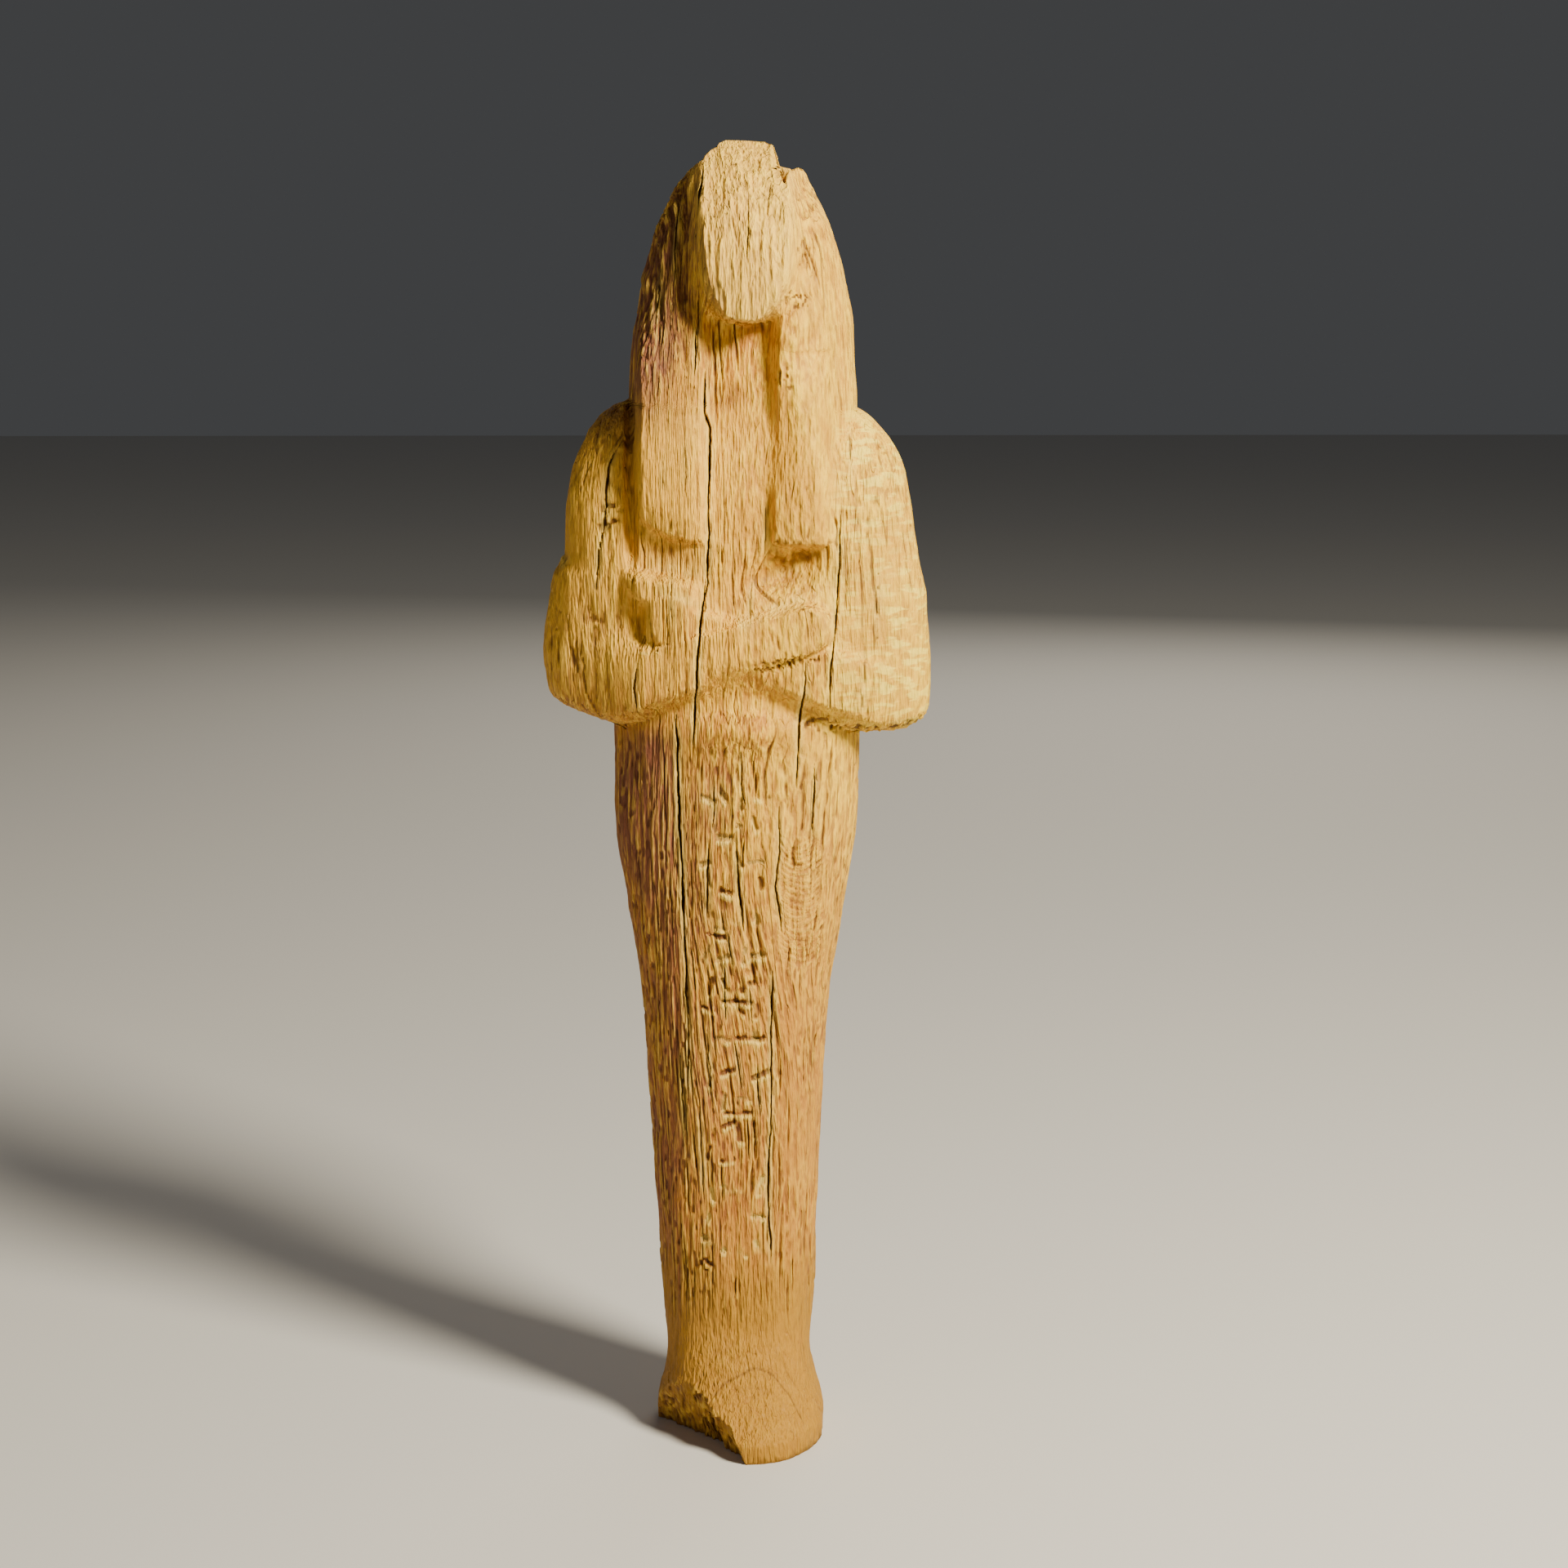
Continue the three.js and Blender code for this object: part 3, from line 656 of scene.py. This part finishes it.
# Crumbled patches: centre, half-size, depth, seed, darkness, size of the crumbs.
SCARS = [
    ((-21, 156), (2.4, 3.0), 0.5, 101, 0.25, 0.8),
    ((-21.5, 139.8), (2.6, 1.5), 0.25, 103, 0.1, 0.8),
    ((9.7, 190), (2.6, 1.7), 0.35, 107, 0.45, 0.36),
    ((10.5, 197), (1.4, 2.4), 0.35, 109, 0.45, 0.5),
    ((7.5, 178), (1.6, 2.6), 0.35, 111, 0.3, 0.6),
    ((-5.8, 30.5), (1.5, 1.2), 0.5, 113, 0.6, 0.5),
    ((-12.4, 4.5), (1.2, 1.6), 0.8, 117, 0.7, 0.6),
]

# A row of crumbs along the lower forearm, and a short cut under the fist.
CRUMBS = 6
CRUMB_SIZE = (1.8, 1.2)
FIST_CUT = ((-15.6, 135.0), (-12.8, 135.2))


def scar(sheet, centre, size, depth, seed, dark, grain):
    """A small crumbled patch: a cluster of pits round a centre."""
    rows = rows_between(sheet, centre[1] - size[1], centre[1] + size[1])
    part = (rows, slice(0, COLUMNS_FRONT))
    x, y, z = sheet.x[part], sheet.y[part], sheet.z[part]
    reach = np.hypot((x - centre[0]) / size[0], (z - centre[1]) / size[1])
    inside = 1 - ramp(0.45, 1.1, reach + 0.25 * noise(x / 1.2, y / 1.2, z / 1.2, seed))
    crumb = ramp(-0.15, 0.5, noise(x / grain, y / grain, z / grain, seed + 1))
    sheet.relief[part] -= depth * inside * crumb
    sheet.dark[part] = np.maximum(sheet.dark[part], dark * inside * crumb)


def crumble_arms_edge(sheet):
    """End grain under the elbows has gone to crumbs."""
    x, y, z = sheet.x, sheet.y, sheet.z
    away = z - through(ARMS_EDGE, x)
    near = np.exp(-((away - 0.1) / 1.15) ** 2)
    right = 0.45 + 0.55 * ramp(7, 13, x)
    crumb = noise(x / 0.75, y / 0.75, z / 0.6, 61) + 0.6 * noise(x / 0.38, y / 0.38, z / 0.4, 62)
    outer = np.maximum(ramp(6, 11, x), 0.6 * ramp(9, 20, -x))
    relief = near * outer * right
    sheet.relief += 0.38 * relief * crumb - 0.15 * relief
    sheet.dark = np.maximum(sheet.dark, 0.75 * relief * ramp(-0.35, 0.35, -crumb))


def ragged_lappet_ends(sheet):
    """The lappets' cut ends have frayed along the grain; under them the fray is darkened with
    painted shade, most under the right one.
    """
    x, z = sheet.x, sheet.z
    for low, high, foot in ((-15.5, -5.2, 152.6), (5.4, 14.4, 151.6)):
        slant = -0.26 * (x + 10.3) if low < 0 else 0
        near = np.exp(-((z - foot - slant) / 1.1) ** 2) * band(low, high, 1.4, x) * sheet.front
        fray = noise(x / 0.45, z / 2.2, x * 0, 71)
        sheet.relief += 0.16 * near * fray
        shade = 0.05 if low < 0 else 0.35
        sheet.dark = np.maximum(sheet.dark, shade * near * ramp(-0.2, 0.6, -fray))


def split_face(sheet):
    """The front of the head came away along the grain and left a bare, ragged plane."""
    x, y, z = sheet.x, sheet.y, sheet.z
    half = face_half(z)
    inside = 1 - ramp(half - 0.6, half + 2.5, np.abs(x - FACE_MIDDLE))
    inside = inside * ramp(CHIN - 0.3, CHIN + 0.8, z) * sheet.front
    torn = noise(x / 0.5, y / 4, z / 7.5, 81) + 0.6 * noise(x / 1.3, y / 4, z / 13, 82)
    sheet.relief += 0.20 * inside * torn
    step_at = FACE_MIDDLE - FACE_HALF / 2 + 0.9 * noise_along(z / 5, 83)
    step_at = step_at + 0.35 * noise_along(z / 1.4, 84)
    sheet.relief -= 0.40 * inside * (1 - ramp(-0.25, 0.25, x - step_at))
    sheet.pale = np.maximum(sheet.pale, 0.40 * inside)


def fibrous_wig(sheet):
    """Left of the face the wig has weathered into long standing fibres."""
    x, y, z = sheet.x, sheet.y, sheet.z
    here = ramp(168, 194, z) * (1 - ramp(207, 213, z))
    here = here * (1 - ramp(FACE_SIDE - 1.6, FACE_SIDE + 1.2, x)) * sheet.front
    ridge = noise(x / 0.75, y / 1.5, z / 12, 91)
    sheet.relief += here * (0.42 * ridge - 0.12)
    sheet.dark = np.maximum(sheet.dark, 0.35 * here * ramp(0.05, 0.5, -ridge))


def chip_left_arm(sheet):
    """Above a torn edge, the outer left arm has lost a thin flake."""
    x, y, z = sheet.x, sheet.y, sheet.z
    edge = 147.3 + 0.35 * (x + 30) + 0.9 * noise(x / 1.6, y / 1.6, x * 0, 95)
    flake = (1 - ramp(-28.6, -26.4, x)) * ramp(-0.25, 0.35, z - edge) * (1 - ramp(157, 166, z))
    sheet.relief -= 0.55 * flake
    edge_near = np.exp(-((z - edge) / 0.5) ** 2) * (1 - ramp(-28.6, -26.4, x))
    sheet.pale = np.maximum(sheet.pale, 0.7 * edge_near * sheet.front)


def ring_steps(sheet):
    """Thin year-ring lines on the smooth instep, and a nest of them on the right thigh."""
    x, y, z = sheet.x, sheet.y, sheet.z
    out = np.hypot(x - PITH[0], y - PITH[1])
    instep = (1 - ramp(16, 19, z)) * ramp(3.5, 6, z) * ramp(-8, -4, x) * sheet.front
    for radius, share in ((13.6, 1.0), (11.9, 0.35), (16.0, 0.4)):
        line = seam(out - radius - 0.3 * noise(x / 3, y / 3, z / 3, 96), 0.20)
        sheet.relief -= 0.10 * share * instep * line
        sheet.dark = np.maximum(sheet.dark, 0.6 * share * instep * line)
    nest = band(82, 104, 6, z) * band(6.5, 14, 3, x) * sheet.front
    bowl = (z - 93) - 0.16 * (x - 10.3) ** 2 + 0.5 * noise(x / 3, z / 3, x * 0, 97)
    sheet.relief += 0.11 * nest * np.sin(bowl * 2 * math.pi / 1.05)
    sheet.ring = nest * np.clip(np.sin(bowl * 2 * math.pi / 1.05), -1, 1)


# ------------------------------------------------------------------ wear, painted highlights and painted shade over the whole piece

# Painted highlights on lit edges and ridges, and painted shade in the hollows under the lappets,
# the chin and beside the fist: from, to, half-breadth, strength.
PAINTED_HIGHLIGHTS = [
    ((0.5, 139.4), (9.8, 142.8), 1.3, 0.60),
    ((-12.5, 144.6), (-5.0, 141.9), 1.0, 0.50),
    ((-13.5, 148.6), (-6.5, 147.2), 1.4, 0.35),
]
PAINTED_SHADE = [
    ((6.4, 149.4), (12.4, 149.8), 1.7, 0.42),
    ((0.5, 143.6), (9.0, 146.6), 4.2, 0.22),
    ((-15.8, 139.5), (-15.4, 135.8), 1.1, 0.30),
    ((-3.0, 174.5), (1.0, 175.5), 4.0, 0.30),
    ((-14.0, 150.8), (-6.5, 149.2), 1.6, 0.28),
    ((4.6, 153), (4.8, 161), 1.0, 0.25),
    ((-17.2, 150), (-17.2, 172), 1.2, 0.22),
]


def paint_highlights_and_shade(sheet):
    """Paints highlights pale on the listed edges and paints shade, dark brown, into the listed
    hollows.
    """
    x, z = sheet.x, sheet.z
    uneven = sheet.front * (0.8 + 0.6 * noise(x / 0.9, z / 2.2, x * 0, 71))
    for start, end, half, strength in PAINTED_HIGHLIGHTS:
        away, _ = near_line(x, z, start, end)
        highlight = strength * uneven * (1 - ramp(0.1, 1, away / half))
        sheet.pale = np.maximum(sheet.pale, np.clip(highlight, 0, 1))
    for start, end, half, strength in PAINTED_SHADE:
        away, _ = near_line(x, z, start, end)
        sheet.grime += strength * uneven * (1 - ramp(0.1, 1, away / half))
    sheet.grime = np.clip(sheet.grime, 0, 1)


def blur(field, rows, columns):
    """Mean over a window of rows and columns; the columns run round the figure."""
    padded = np.pad(field, ((rows, rows), (0, 0)), mode="edge")
    padded = np.pad(padded, ((0, 0), (columns, columns)), mode="wrap")
    total = np.cumsum(np.cumsum(padded, 0), 1)
    total = np.pad(total, ((1, 0), (1, 0)))
    high, wide = 2 * rows + 1, 2 * columns + 1
    window = total[high:, wide:] - total[:-high, wide:]
    window = window - total[high:, :-wide] + total[:-high, :-wide]
    return window / (high * wide)


def wear(points, level):
    """Cuts all relief into the carved grid; gives the worn points and their finish fields."""
    lost = break_foot(points)
    notch_crown(points)
    sheet = SimpleNamespace(x=points[..., 0], y=points[..., 1], z=points[..., 2], level=level)
    shape = sheet.x.shape
    sheet.relief, sheet.sink = np.zeros(shape), np.zeros(shape)
    sheet.dark, sheet.pale, sheet.ring = np.zeros(shape), np.zeros(shape), np.zeros(shape)
    sheet.front = np.zeros(shape)
    sheet.front[:, :COLUMNS_FRONT] = 1
    sheet.rough = weathering(sheet.x, sheet.y, sheet.z)

    add_grain(sheet)
    add_checks(sheet)
    crumble_arms_edge(sheet)
    ragged_lappet_ends(sheet)
    split_face(sheet)
    fibrous_wig(sheet)
    chip_left_arm(sheet)
    ring_steps(sheet)
    cut_writing(sheet)
    for patch in SCARS:
        scar(sheet, *patch)
    for step in range(CRUMBS):
        crumb = (3.6 + 1.75 * step, 132.1 + 0.32 * step)
        scar(sheet, crumb, CRUMB_SIZE, 0.30, 130 + 2 * step, 0.38, 0.33)
    cut_stroke(sheet, *FIST_CUT, 0.32, 0.6)
    for seed, (half, depth, line) in enumerate(SPLITS):
        open_split(sheet, half, depth, line, 200 + 3 * seed)

    torn = ramp(-0.2, 0.6, noise(sheet.x / 0.5, sheet.y / 0.5, sheet.z / 8, 120))
    sheet.dark = np.where(lost, np.maximum(sheet.dark, 0.12 + 0.22 * torn), sheet.dark)
    sheet.relief -= np.where(lost, 0.25 * torn, 0)
    normal = grid_normals(points)
    fade = ramp(0, 2.5, sheet.z)[..., None]
    upright = normal * np.array([1, 1, 0])
    normal = normal * fade + upright * (1 - fade)
    worn = points + normal * sheet.relief[..., None]
    worn[..., 1] += sheet.sink
    worn[..., 2] = np.maximum(worn[..., 2], 0)
    worn[0, :, 2] = 0
    # Darker in sunk places, paler on rises: painted shade in the hollows, with some soiling.
    hollow = blur(sheet.relief, 5, 5) - sheet.relief
    sheet.grime = np.clip(0.5 + 2.2 * hollow, 0, 1)
    paint_highlights_and_shade(sheet)
    return worn, sheet


# ------------------------------------------------------------------ making the piece

def wrapped_sheet(rows, columns):
    """A fine flat sheet, its left edge to meet its right, for wrapping into the figure."""
    bpy.ops.object.select_all(action="DESELECT")
    bpy.ops.mesh.primitive_grid_add(x_subdivisions=columns, y_subdivisions=rows, size=1)
    return bpy.context.object


def place_on_grid(sheet_object, grid, fields):
    """Wraps the flat sheet round the figure's grid; its two ends close to a point each."""
    rows, columns = grid.shape[0] + 1, grid.shape[1]
    mesh = sheet_object.data
    co = np.zeros(len(mesh.vertices) * 3, np.float32)
    mesh.vertices.foreach_get("co", co)
    co = co.reshape(-1, 3)
    column = np.rint((co[:, 0] + 0.5) * columns).astype(int) % columns
    row = np.rint((co[:, 1] + 0.5) * rows).astype(int)
    inner = np.clip(row - 1, 0, rows - 2)
    placed = grid[inner, column]
    placed[row == 0] = grid[0].mean(0)
    placed[row == rows] = grid[-1].mean(0)
    mesh.vertices.foreach_set("co", (placed * MM).astype(np.float32).ravel())
    for name, field in fields.items():
        layer = mesh.attributes.new(name, "FLOAT", "POINT")
        layer.data.foreach_set("value", field[inner, column].astype(np.float32))
    mesh.update()


def join_seam():
    """Closes the line where the two edges of the sheet meet."""
    bpy.ops.object.mode_set(mode="EDIT")
    bpy.ops.mesh.select_all(action="SELECT")
    bpy.ops.mesh.remove_doubles(threshold=1e-7)
    bpy.ops.mesh.select_all(action="DESELECT")
    bpy.ops.object.mode_set(mode="OBJECT")


def apply_modifier(obj, kind, **settings):
    modifier = obj.modifiers.new(kind.lower(), kind)
    for name, value in settings.items():
        setattr(modifier, name, value)
    bpy.context.view_layer.objects.active = obj
    bpy.ops.object.modifier_apply(modifier=modifier.name)


def closed_grid(points):
    """The rows, with the rings of the flat underside below them and of the crown above."""
    foot, crown = points[0], points[-1]
    middle = np.array([2.0, -1.0, 0.0])
    under = [middle + (foot - middle) * (i / UNDERSIDE_RINGS) for i in range(1, UNDERSIDE_RINGS)]
    top = crown.mean(0) + np.array([0, 0, 0.15])
    over = [top + (crown - top) * (1 - i / CROWN_RINGS) for i in range(1, CROWN_RINGS)]
    return np.concatenate([np.stack(under), points, np.stack(over)])


def closed_field(field):
    low = np.repeat(field[:1], UNDERSIDE_RINGS - 1, 0)
    high = np.repeat(field[-1:], CROWN_RINGS - 1, 0)
    return np.concatenate([low, field, high])


def make_figure():
    points, level = block_grid()
    worn, sheet = wear(points, level)
    grid = closed_grid(worn)
    names = ("dark", "pale", "grime", "rough", "ring", "shift")
    fields = {name: closed_field(getattr(sheet, name)) for name in names}
    figure = wrapped_sheet(grid.shape[0] + 1, grid.shape[1])
    figure.name = "carved_figure"
    place_on_grid(figure, grid, fields)
    join_seam()
    triangles = 2 * grid.shape[0] * grid.shape[1]
    apply_modifier(figure, "DECIMATE", ratio=FINAL_TRIANGLES / triangles)
    bpy.ops.object.shade_smooth()
    return figure


# ------------------------------------------------------------------ the wood's finish

class Finish:
    """Short words for wiring a material."""

    def __init__(self, name):
        self.material = bpy.data.materials.new(name)
        self.material.use_nodes = True
        self.tree = self.material.node_tree
        self.surface = self.tree.nodes["Principled BSDF"]

    def node(self, kind, inputs=(), **settings):
        made = self.tree.nodes.new("ShaderNode" + kind)
        for key, value in settings.items():
            setattr(made, key, value)
        for key, value in dict(inputs).items():
            self.feed(made.inputs[key], value)
        return made

    def feed(self, socket, value):
        if isinstance(value, bpy.types.NodeSocket):
            self.tree.links.new(value, socket)
        else:
            socket.default_value = value

    def sum(self, operation, a, b=0.0):
        return self.node("Math", {0: a, 1: b}, operation=operation).outputs[0]

    def spread(self, value, low, high, to_low=0.0, to_high=1.0):
        """Eases a value from one range onto another."""
        inputs = {"Value": value, "From Min": low, "From Max": high}
        inputs.update({"To Min": to_low, "To Max": to_high})
        return self.node("MapRange", inputs, interpolation_type="SMOOTHSTEP").outputs[0]

    def blend(self, share, a, b, kind="MIX"):
        made = self.node("Mix", data_type="RGBA", blend_type=kind, clamp_factor=True)
        self.feed(made.inputs[0], share)
        self.feed(made.inputs[6], a)
        self.feed(made.inputs[7], b)
        return made.outputs[2]

    def noise(self, where, scale, detail=2.0, rough=0.5):
        inputs = {"Vector": where, "Scale": scale, "Detail": detail, "Roughness": rough}
        return self.node("TexNoise", inputs).outputs[0]

    def stretched_noise(self, where, scale, detail=2.0, rough=0.5):
        """Noise with its own scale in each direction."""
        mapped = self.node("Mapping", {"Vector": where, "Scale": scale}).outputs[0]
        return self.noise(mapped, 1.0, detail, rough)

    def field(self, name):
        return self.node("Attribute", attribute_name=name).outputs["Fac"]


# Tones of the old wood, from the pale handled parts to the bottoms of the splits.
# Some tones also stand for light: the palest serves bare wood and painted highlights, the bleached
# one a painted lit side, the leg and foot tones painted shade towards the bottom, and the darkest
# brown before the gap colour painted shade in hollows.
WOOD = SimpleNamespace(
    fresh_and_lit=(0.96, 0.70, 0.14, 1), fleck=(0.96, 0.74, 0.10, 1), straw=(0.95, 0.60, 0.05, 1),
    rubbed=(0.95, 0.62, 0.06, 1), bleached_and_lit=(0.90, 0.62, 0.030, 1), handled=(0.94, 0.52, 0.040, 1),
    honey=(0.88, 0.50, 0.022, 1), bare=(0.80, 0.42, 0.05, 1), golden=(0.62, 0.26, 0.018, 1),
    amber=(0.58, 0.25, 0.014, 1), tan=(0.50, 0.20, 0.014, 1), russet=(0.42, 0.155, 0.014, 1),
    leg_shade=(0.40, 0.130, 0.026, 1), foot=(0.37, 0.185, 0.010, 1), umber=(0.24, 0.075, 0.018, 1),
    brown=(0.20, 0.060, 0.034, 1), pitted=(0.16, 0.045, 0.018, 1), dirt_and_shade_tone=(0.13, 0.035, 0.006, 1),
    gap=(0.045, 0.014, 0.004, 1),
)


def wood_finish():
    """Old sun-pale wood: rings and rays about the pith, streaks and dashes along the grain."""
    w = Finish("old_wood")
    place = w.node("TexCoord").outputs["Object"]
    axes = w.node("SeparateXYZ", {0: place}).outputs
    x, y, z = axes[0], axes[1], axes[2]

    # Coordinates in millimetres that run with the sway of the fibres.
    dark, pale, grime, rough = (w.field(name) for name in ("dark", "pale", "grime", "rough"))
    shift = w.field("shift")
    u = w.sum("ADD", w.sum("MULTIPLY", x, 1000), shift)
    v = w.sum("ADD", w.sum("MULTIPLY", y, 500), w.sum("MULTIPLY", shift, 0.25))
    grain = w.node("CombineXYZ", {0: u, 1: v, 2: w.sum("MULTIPLY", z, 1000)}).outputs[0]

    def along(across, length, detail=2.0, rough=0.5):
        scale = (1 / across, 1 / across, 1 / length)
        return w.stretched_noise(grain, scale, detail, rough)

    def hairs(across, long, width):
        """Thin upright dark lines, broken into lengths."""
        away = w.sum("ABSOLUTE", w.sum("SUBTRACT", along(across, 120, 0.0), 0.5))
        broken = w.spread(along(1.1, long, 1.0), 0.48, 0.58)
        return w.sum("MULTIPLY", w.spread(away, 0.0, width, 1.0, 0.0), broken)

    streaks = along(1.6, 26, 3.0, 0.6)
    fibres = along(0.60, 8.0, 2.0, 0.6)
    dashes = along(0.36, 2.4, 1.0)
    patches = w.stretched_noise(place, (90, 90, 45), 3.0, 0.6)
    mottle = w.stretched_noise(place, (600, 600, 380), 3.0, 0.65)

    tone = w.blend(w.spread(streaks, 0.34, 0.66), WOOD.golden, WOOD.honey)
    tone = w.blend(w.sum("MULTIPLY", w.spread(fibres, 0.50, 0.72), 0.45), tone, WOOD.umber)
    tone = w.blend(w.spread(dashes, 0.50, 0.62, 0.0, 0.9), tone, WOOD.russet)
    tone = w.blend(w.spread(dashes, 0.46, 0.32, 0.0, 0.6), tone, WOOD.straw)
    tone = w.blend(w.sum("MULTIPLY", w.spread(mottle, 0.40, 0.75), 0.35), tone, WOOD.honey)
    tone = w.blend(w.spread(mottle, 0.50, 0.38, 0.0, 0.35), tone, WOOD.tan)

    # Ray flecks lie across the grain on the figure's left arm.
    arm = w.sum("MULTIPLY", w.spread(x, 0.013, 0.019), w.spread(z, 0.118, 0.126))
    arm = w.sum("MULTIPLY", arm, w.spread(z, 0.176, 0.168))
    flecks = w.stretched_noise(place, (230, 230, 900))
    flecked = w.sum("MULTIPLY", arm, w.spread(flecks, 0.48, 0.60, 0.0, 0.8))
    tone = w.blend(flecked, tone, WOOD.fleck)

    # Patina and painted light: browner towards the figure's right side, partly stain and partly
    # painted shade on the side away from the light; paler towards its left side, partly a painted
    # lit side; paler where it was handled and split.
    side = w.spread(x, -0.026, 0.020)
    side = w.sum("ADD", side, w.sum("MULTIPLY", w.sum("SUBTRACT", patches, 0.5), 1.1))
    arms_band = w.sum("MULTIPLY", w.spread(z, 0.116, 0.128), w.spread(z, 0.176, 0.158))
    shaded_and_browned = w.spread(side, 0.60, 0.05, 0.0, 0.85)
    shaded_and_browned = w.sum("MULTIPLY", shaded_and_browned, w.spread(arms_band, 0.0, 1.0, 1.0, 0.3))
    tone = w.blend(shaded_and_browned, tone, WOOD.brown)
    # Browner on the figure's right thigh and on the wig beside the face on that side: partly
    # stain, partly painted shade on the side away from the light.
    thigh = w.sum("MULTIPLY", w.spread(x, -0.0085, -0.0108), w.spread(z, 0.124, 0.116, 0.0, 0.7))
    tone = w.blend(thigh, tone, WOOD.brown)
    wig = w.sum("MULTIPLY", w.spread(x, -0.006, -0.013), w.spread(z, 0.165, 0.185, 0.0, 0.6))
    tone = w.blend(wig, tone, WOOD.brown)
    tone = w.blend(w.spread(side, 0.55, 1.15, 0.0, 0.40), tone, WOOD.bleached_and_lit)
    tone = w.blend(w.spread(patches, 0.48, 0.66, 0.0, 0.55), tone, WOOD.amber)
    handled = w.sum("MULTIPLY", w.spread(z, 0.122, 0.134), w.spread(z, 0.180, 0.166))
    handled = w.sum("MULTIPLY", handled, w.spread(x, 0.008, -0.006, 0.0, 0.5))
    tone = w.blend(handled, tone, WOOD.handled)
    # Darker towards the bottom, over the legs and then the foot: painted shade for the light
    # falling off below the head.
    tone = w.blend(w.spread(z, 0.125, 0.060, 0.0, 0.55), tone, WOOD.leg_shade)
    tone = w.blend(w.spread(z, 0.040, 0.022, 0.0, 0.75), tone, WOOD.foot)
    worn = w.sum("MULTIPLY", w.spread(z, 0.030, 0.045), w.spread(rough, 0.2, 0.7))
    bare = w.sum("MULTIPLY", worn, w.spread(fibres, 0.48, 0.36, 0.0, 0.6))
    tone = w.blend(bare, tone, WOOD.bare)
    pitted = w.sum("MULTIPLY", worn, w.spread(dashes, 0.52, 0.62, 0.0, 0.6))
    tone = w.blend(pitted, tone, WOOD.pitted)

    lines = w.sum("MULTIPLY", hairs(0.8, 8.0, 0.04), w.spread(rough, 0.0, 0.6, 0.25, 0.8))
    tone = w.blend(lines, tone, WOOD.umber)
    tone = w.blend(w.spread(w.field("ring"), 0.1, 1.0, 0.0, 0.5), tone, WOOD.umber)
    # Darker in sunk places and the listed hollows: painted shade with some soiling; paler on the
    # rises, where the wood is rubbed.
    tone = w.blend(w.spread(grime, 0.52, 0.95, 0.0, 0.75), tone, WOOD.dirt_and_shade_tone)
    tone = w.blend(w.spread(grime, 0.48, 0.15, 0.0, 0.40), tone, WOOD.rubbed)
    # Paler where the pale field is: bare wood, and painted highlights on lit edges and on the
    # lower lips of cuts.
    tone = w.blend(w.sum("MULTIPLY", pale, 0.75), tone, WOOD.fresh_and_lit)
    tone = w.blend(w.sum("MULTIPLY", dark, 0.92), tone, WOOD.gap)
    w.feed(w.surface.inputs["Base Color"], tone)

    shine = w.spread(mottle, 0.3, 0.7, 0.60, 0.78)
    w.feed(w.surface.inputs["Roughness"], shine)
    w.surface.inputs["Specular IOR Level"].default_value = 0.3
    height = w.sum("ADD", w.sum("MULTIPLY", fibres, -0.6), w.sum("MULTIPLY", dashes, -0.8))
    height = w.sum("ADD", height, w.sum("MULTIPLY", mottle, 0.5))
    height = w.sum("SUBTRACT", height, w.sum("MULTIPLY", lines, 0.6))
    bump = w.node("Bump", {"Strength": 0.8, "Distance": 0.0008, "Height": height})
    w.feed(w.surface.inputs["Normal"], bump.outputs[0])
    return w.material


# ------------------------------------------------------------------ the stage

FLOOR_SIZE = 6
FLOOR_TONE = (0.62, 0.60, 0.57, 1)
STUDIO_TONE = (0.80, 0.82, 0.85, 1)
STUDIO_LIGHT = 0.07
EYE = (0, -0.480, 0.195)
EYE_TURN = (math.radians(80), 0, math.radians(-0.91))
LENS = 67.2

# Lights: name, place, point aimed at, size, power, colour.
LIGHTS = [
    ("key", (0.39, -0.37, 0.54), (0, 0, 0.12), 0.18, 13.0, (1, 0.92, 0.74)),
    ("behind", (0.25, 0.9, 0.55), (0, 0, 0.1), 0.7, 3.0, (1, 0.93, 0.80)),
    ("fill", (-0.7, -0.6, 0.35), (0, 0, 0.1), 0.8, 0.7, (1, 0.90, 0.95)),
]


def make_stage():
    bpy.ops.object.select_all(action="DESELECT")
    bpy.ops.mesh.primitive_plane_add(size=FLOOR_SIZE)
    floor = bpy.context.object
    floor.name = "floor"
    mat = bpy.data.materials.new("pale_floor")
    mat.use_nodes = True
    surface = mat.node_tree.nodes["Principled BSDF"]
    surface.inputs["Base Color"].default_value = FLOOR_TONE
    surface.inputs["Roughness"].default_value = 0.85
    floor.data.materials.append(mat)

    world = bpy.data.worlds.new("studio")
    world.use_nodes = True
    background = world.node_tree.nodes["Background"]
    background.inputs["Color"].default_value = STUDIO_TONE
    background.inputs["Strength"].default_value = STUDIO_LIGHT
    bpy.context.scene.world = world


def area_light(name, place, aim, size, power, colour):
    data = bpy.data.lights.new(name, "AREA")
    data.shape = "DISK"
    data.size = size
    data.energy = power
    data.color = colour
    light = bpy.data.objects.new(name, data)
    light.location = place
    light.rotation_euler = (Vector(aim) - Vector(place)).to_track_quat("-Z", "Y").to_euler()
    bpy.context.scene.collection.objects.link(light)


def make_camera():
    """Close in front, at nine tenths of the figure's height, looking slightly down."""
    data = bpy.data.cameras.new("camera")
    data.sensor_width = 36
    data.lens = LENS
    data.clip_start = 0.01
    camera = bpy.data.objects.new("camera", data)
    camera.location = EYE
    camera.rotation_euler = EYE_TURN
    bpy.context.scene.collection.objects.link(camera)
    bpy.context.scene.camera = camera


make_camera()
make_stage()
for light in LIGHTS:
    area_light(*light)

figure = make_figure()
figure.data.materials.append(wood_finish())
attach(figure, "root")
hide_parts(NODE)
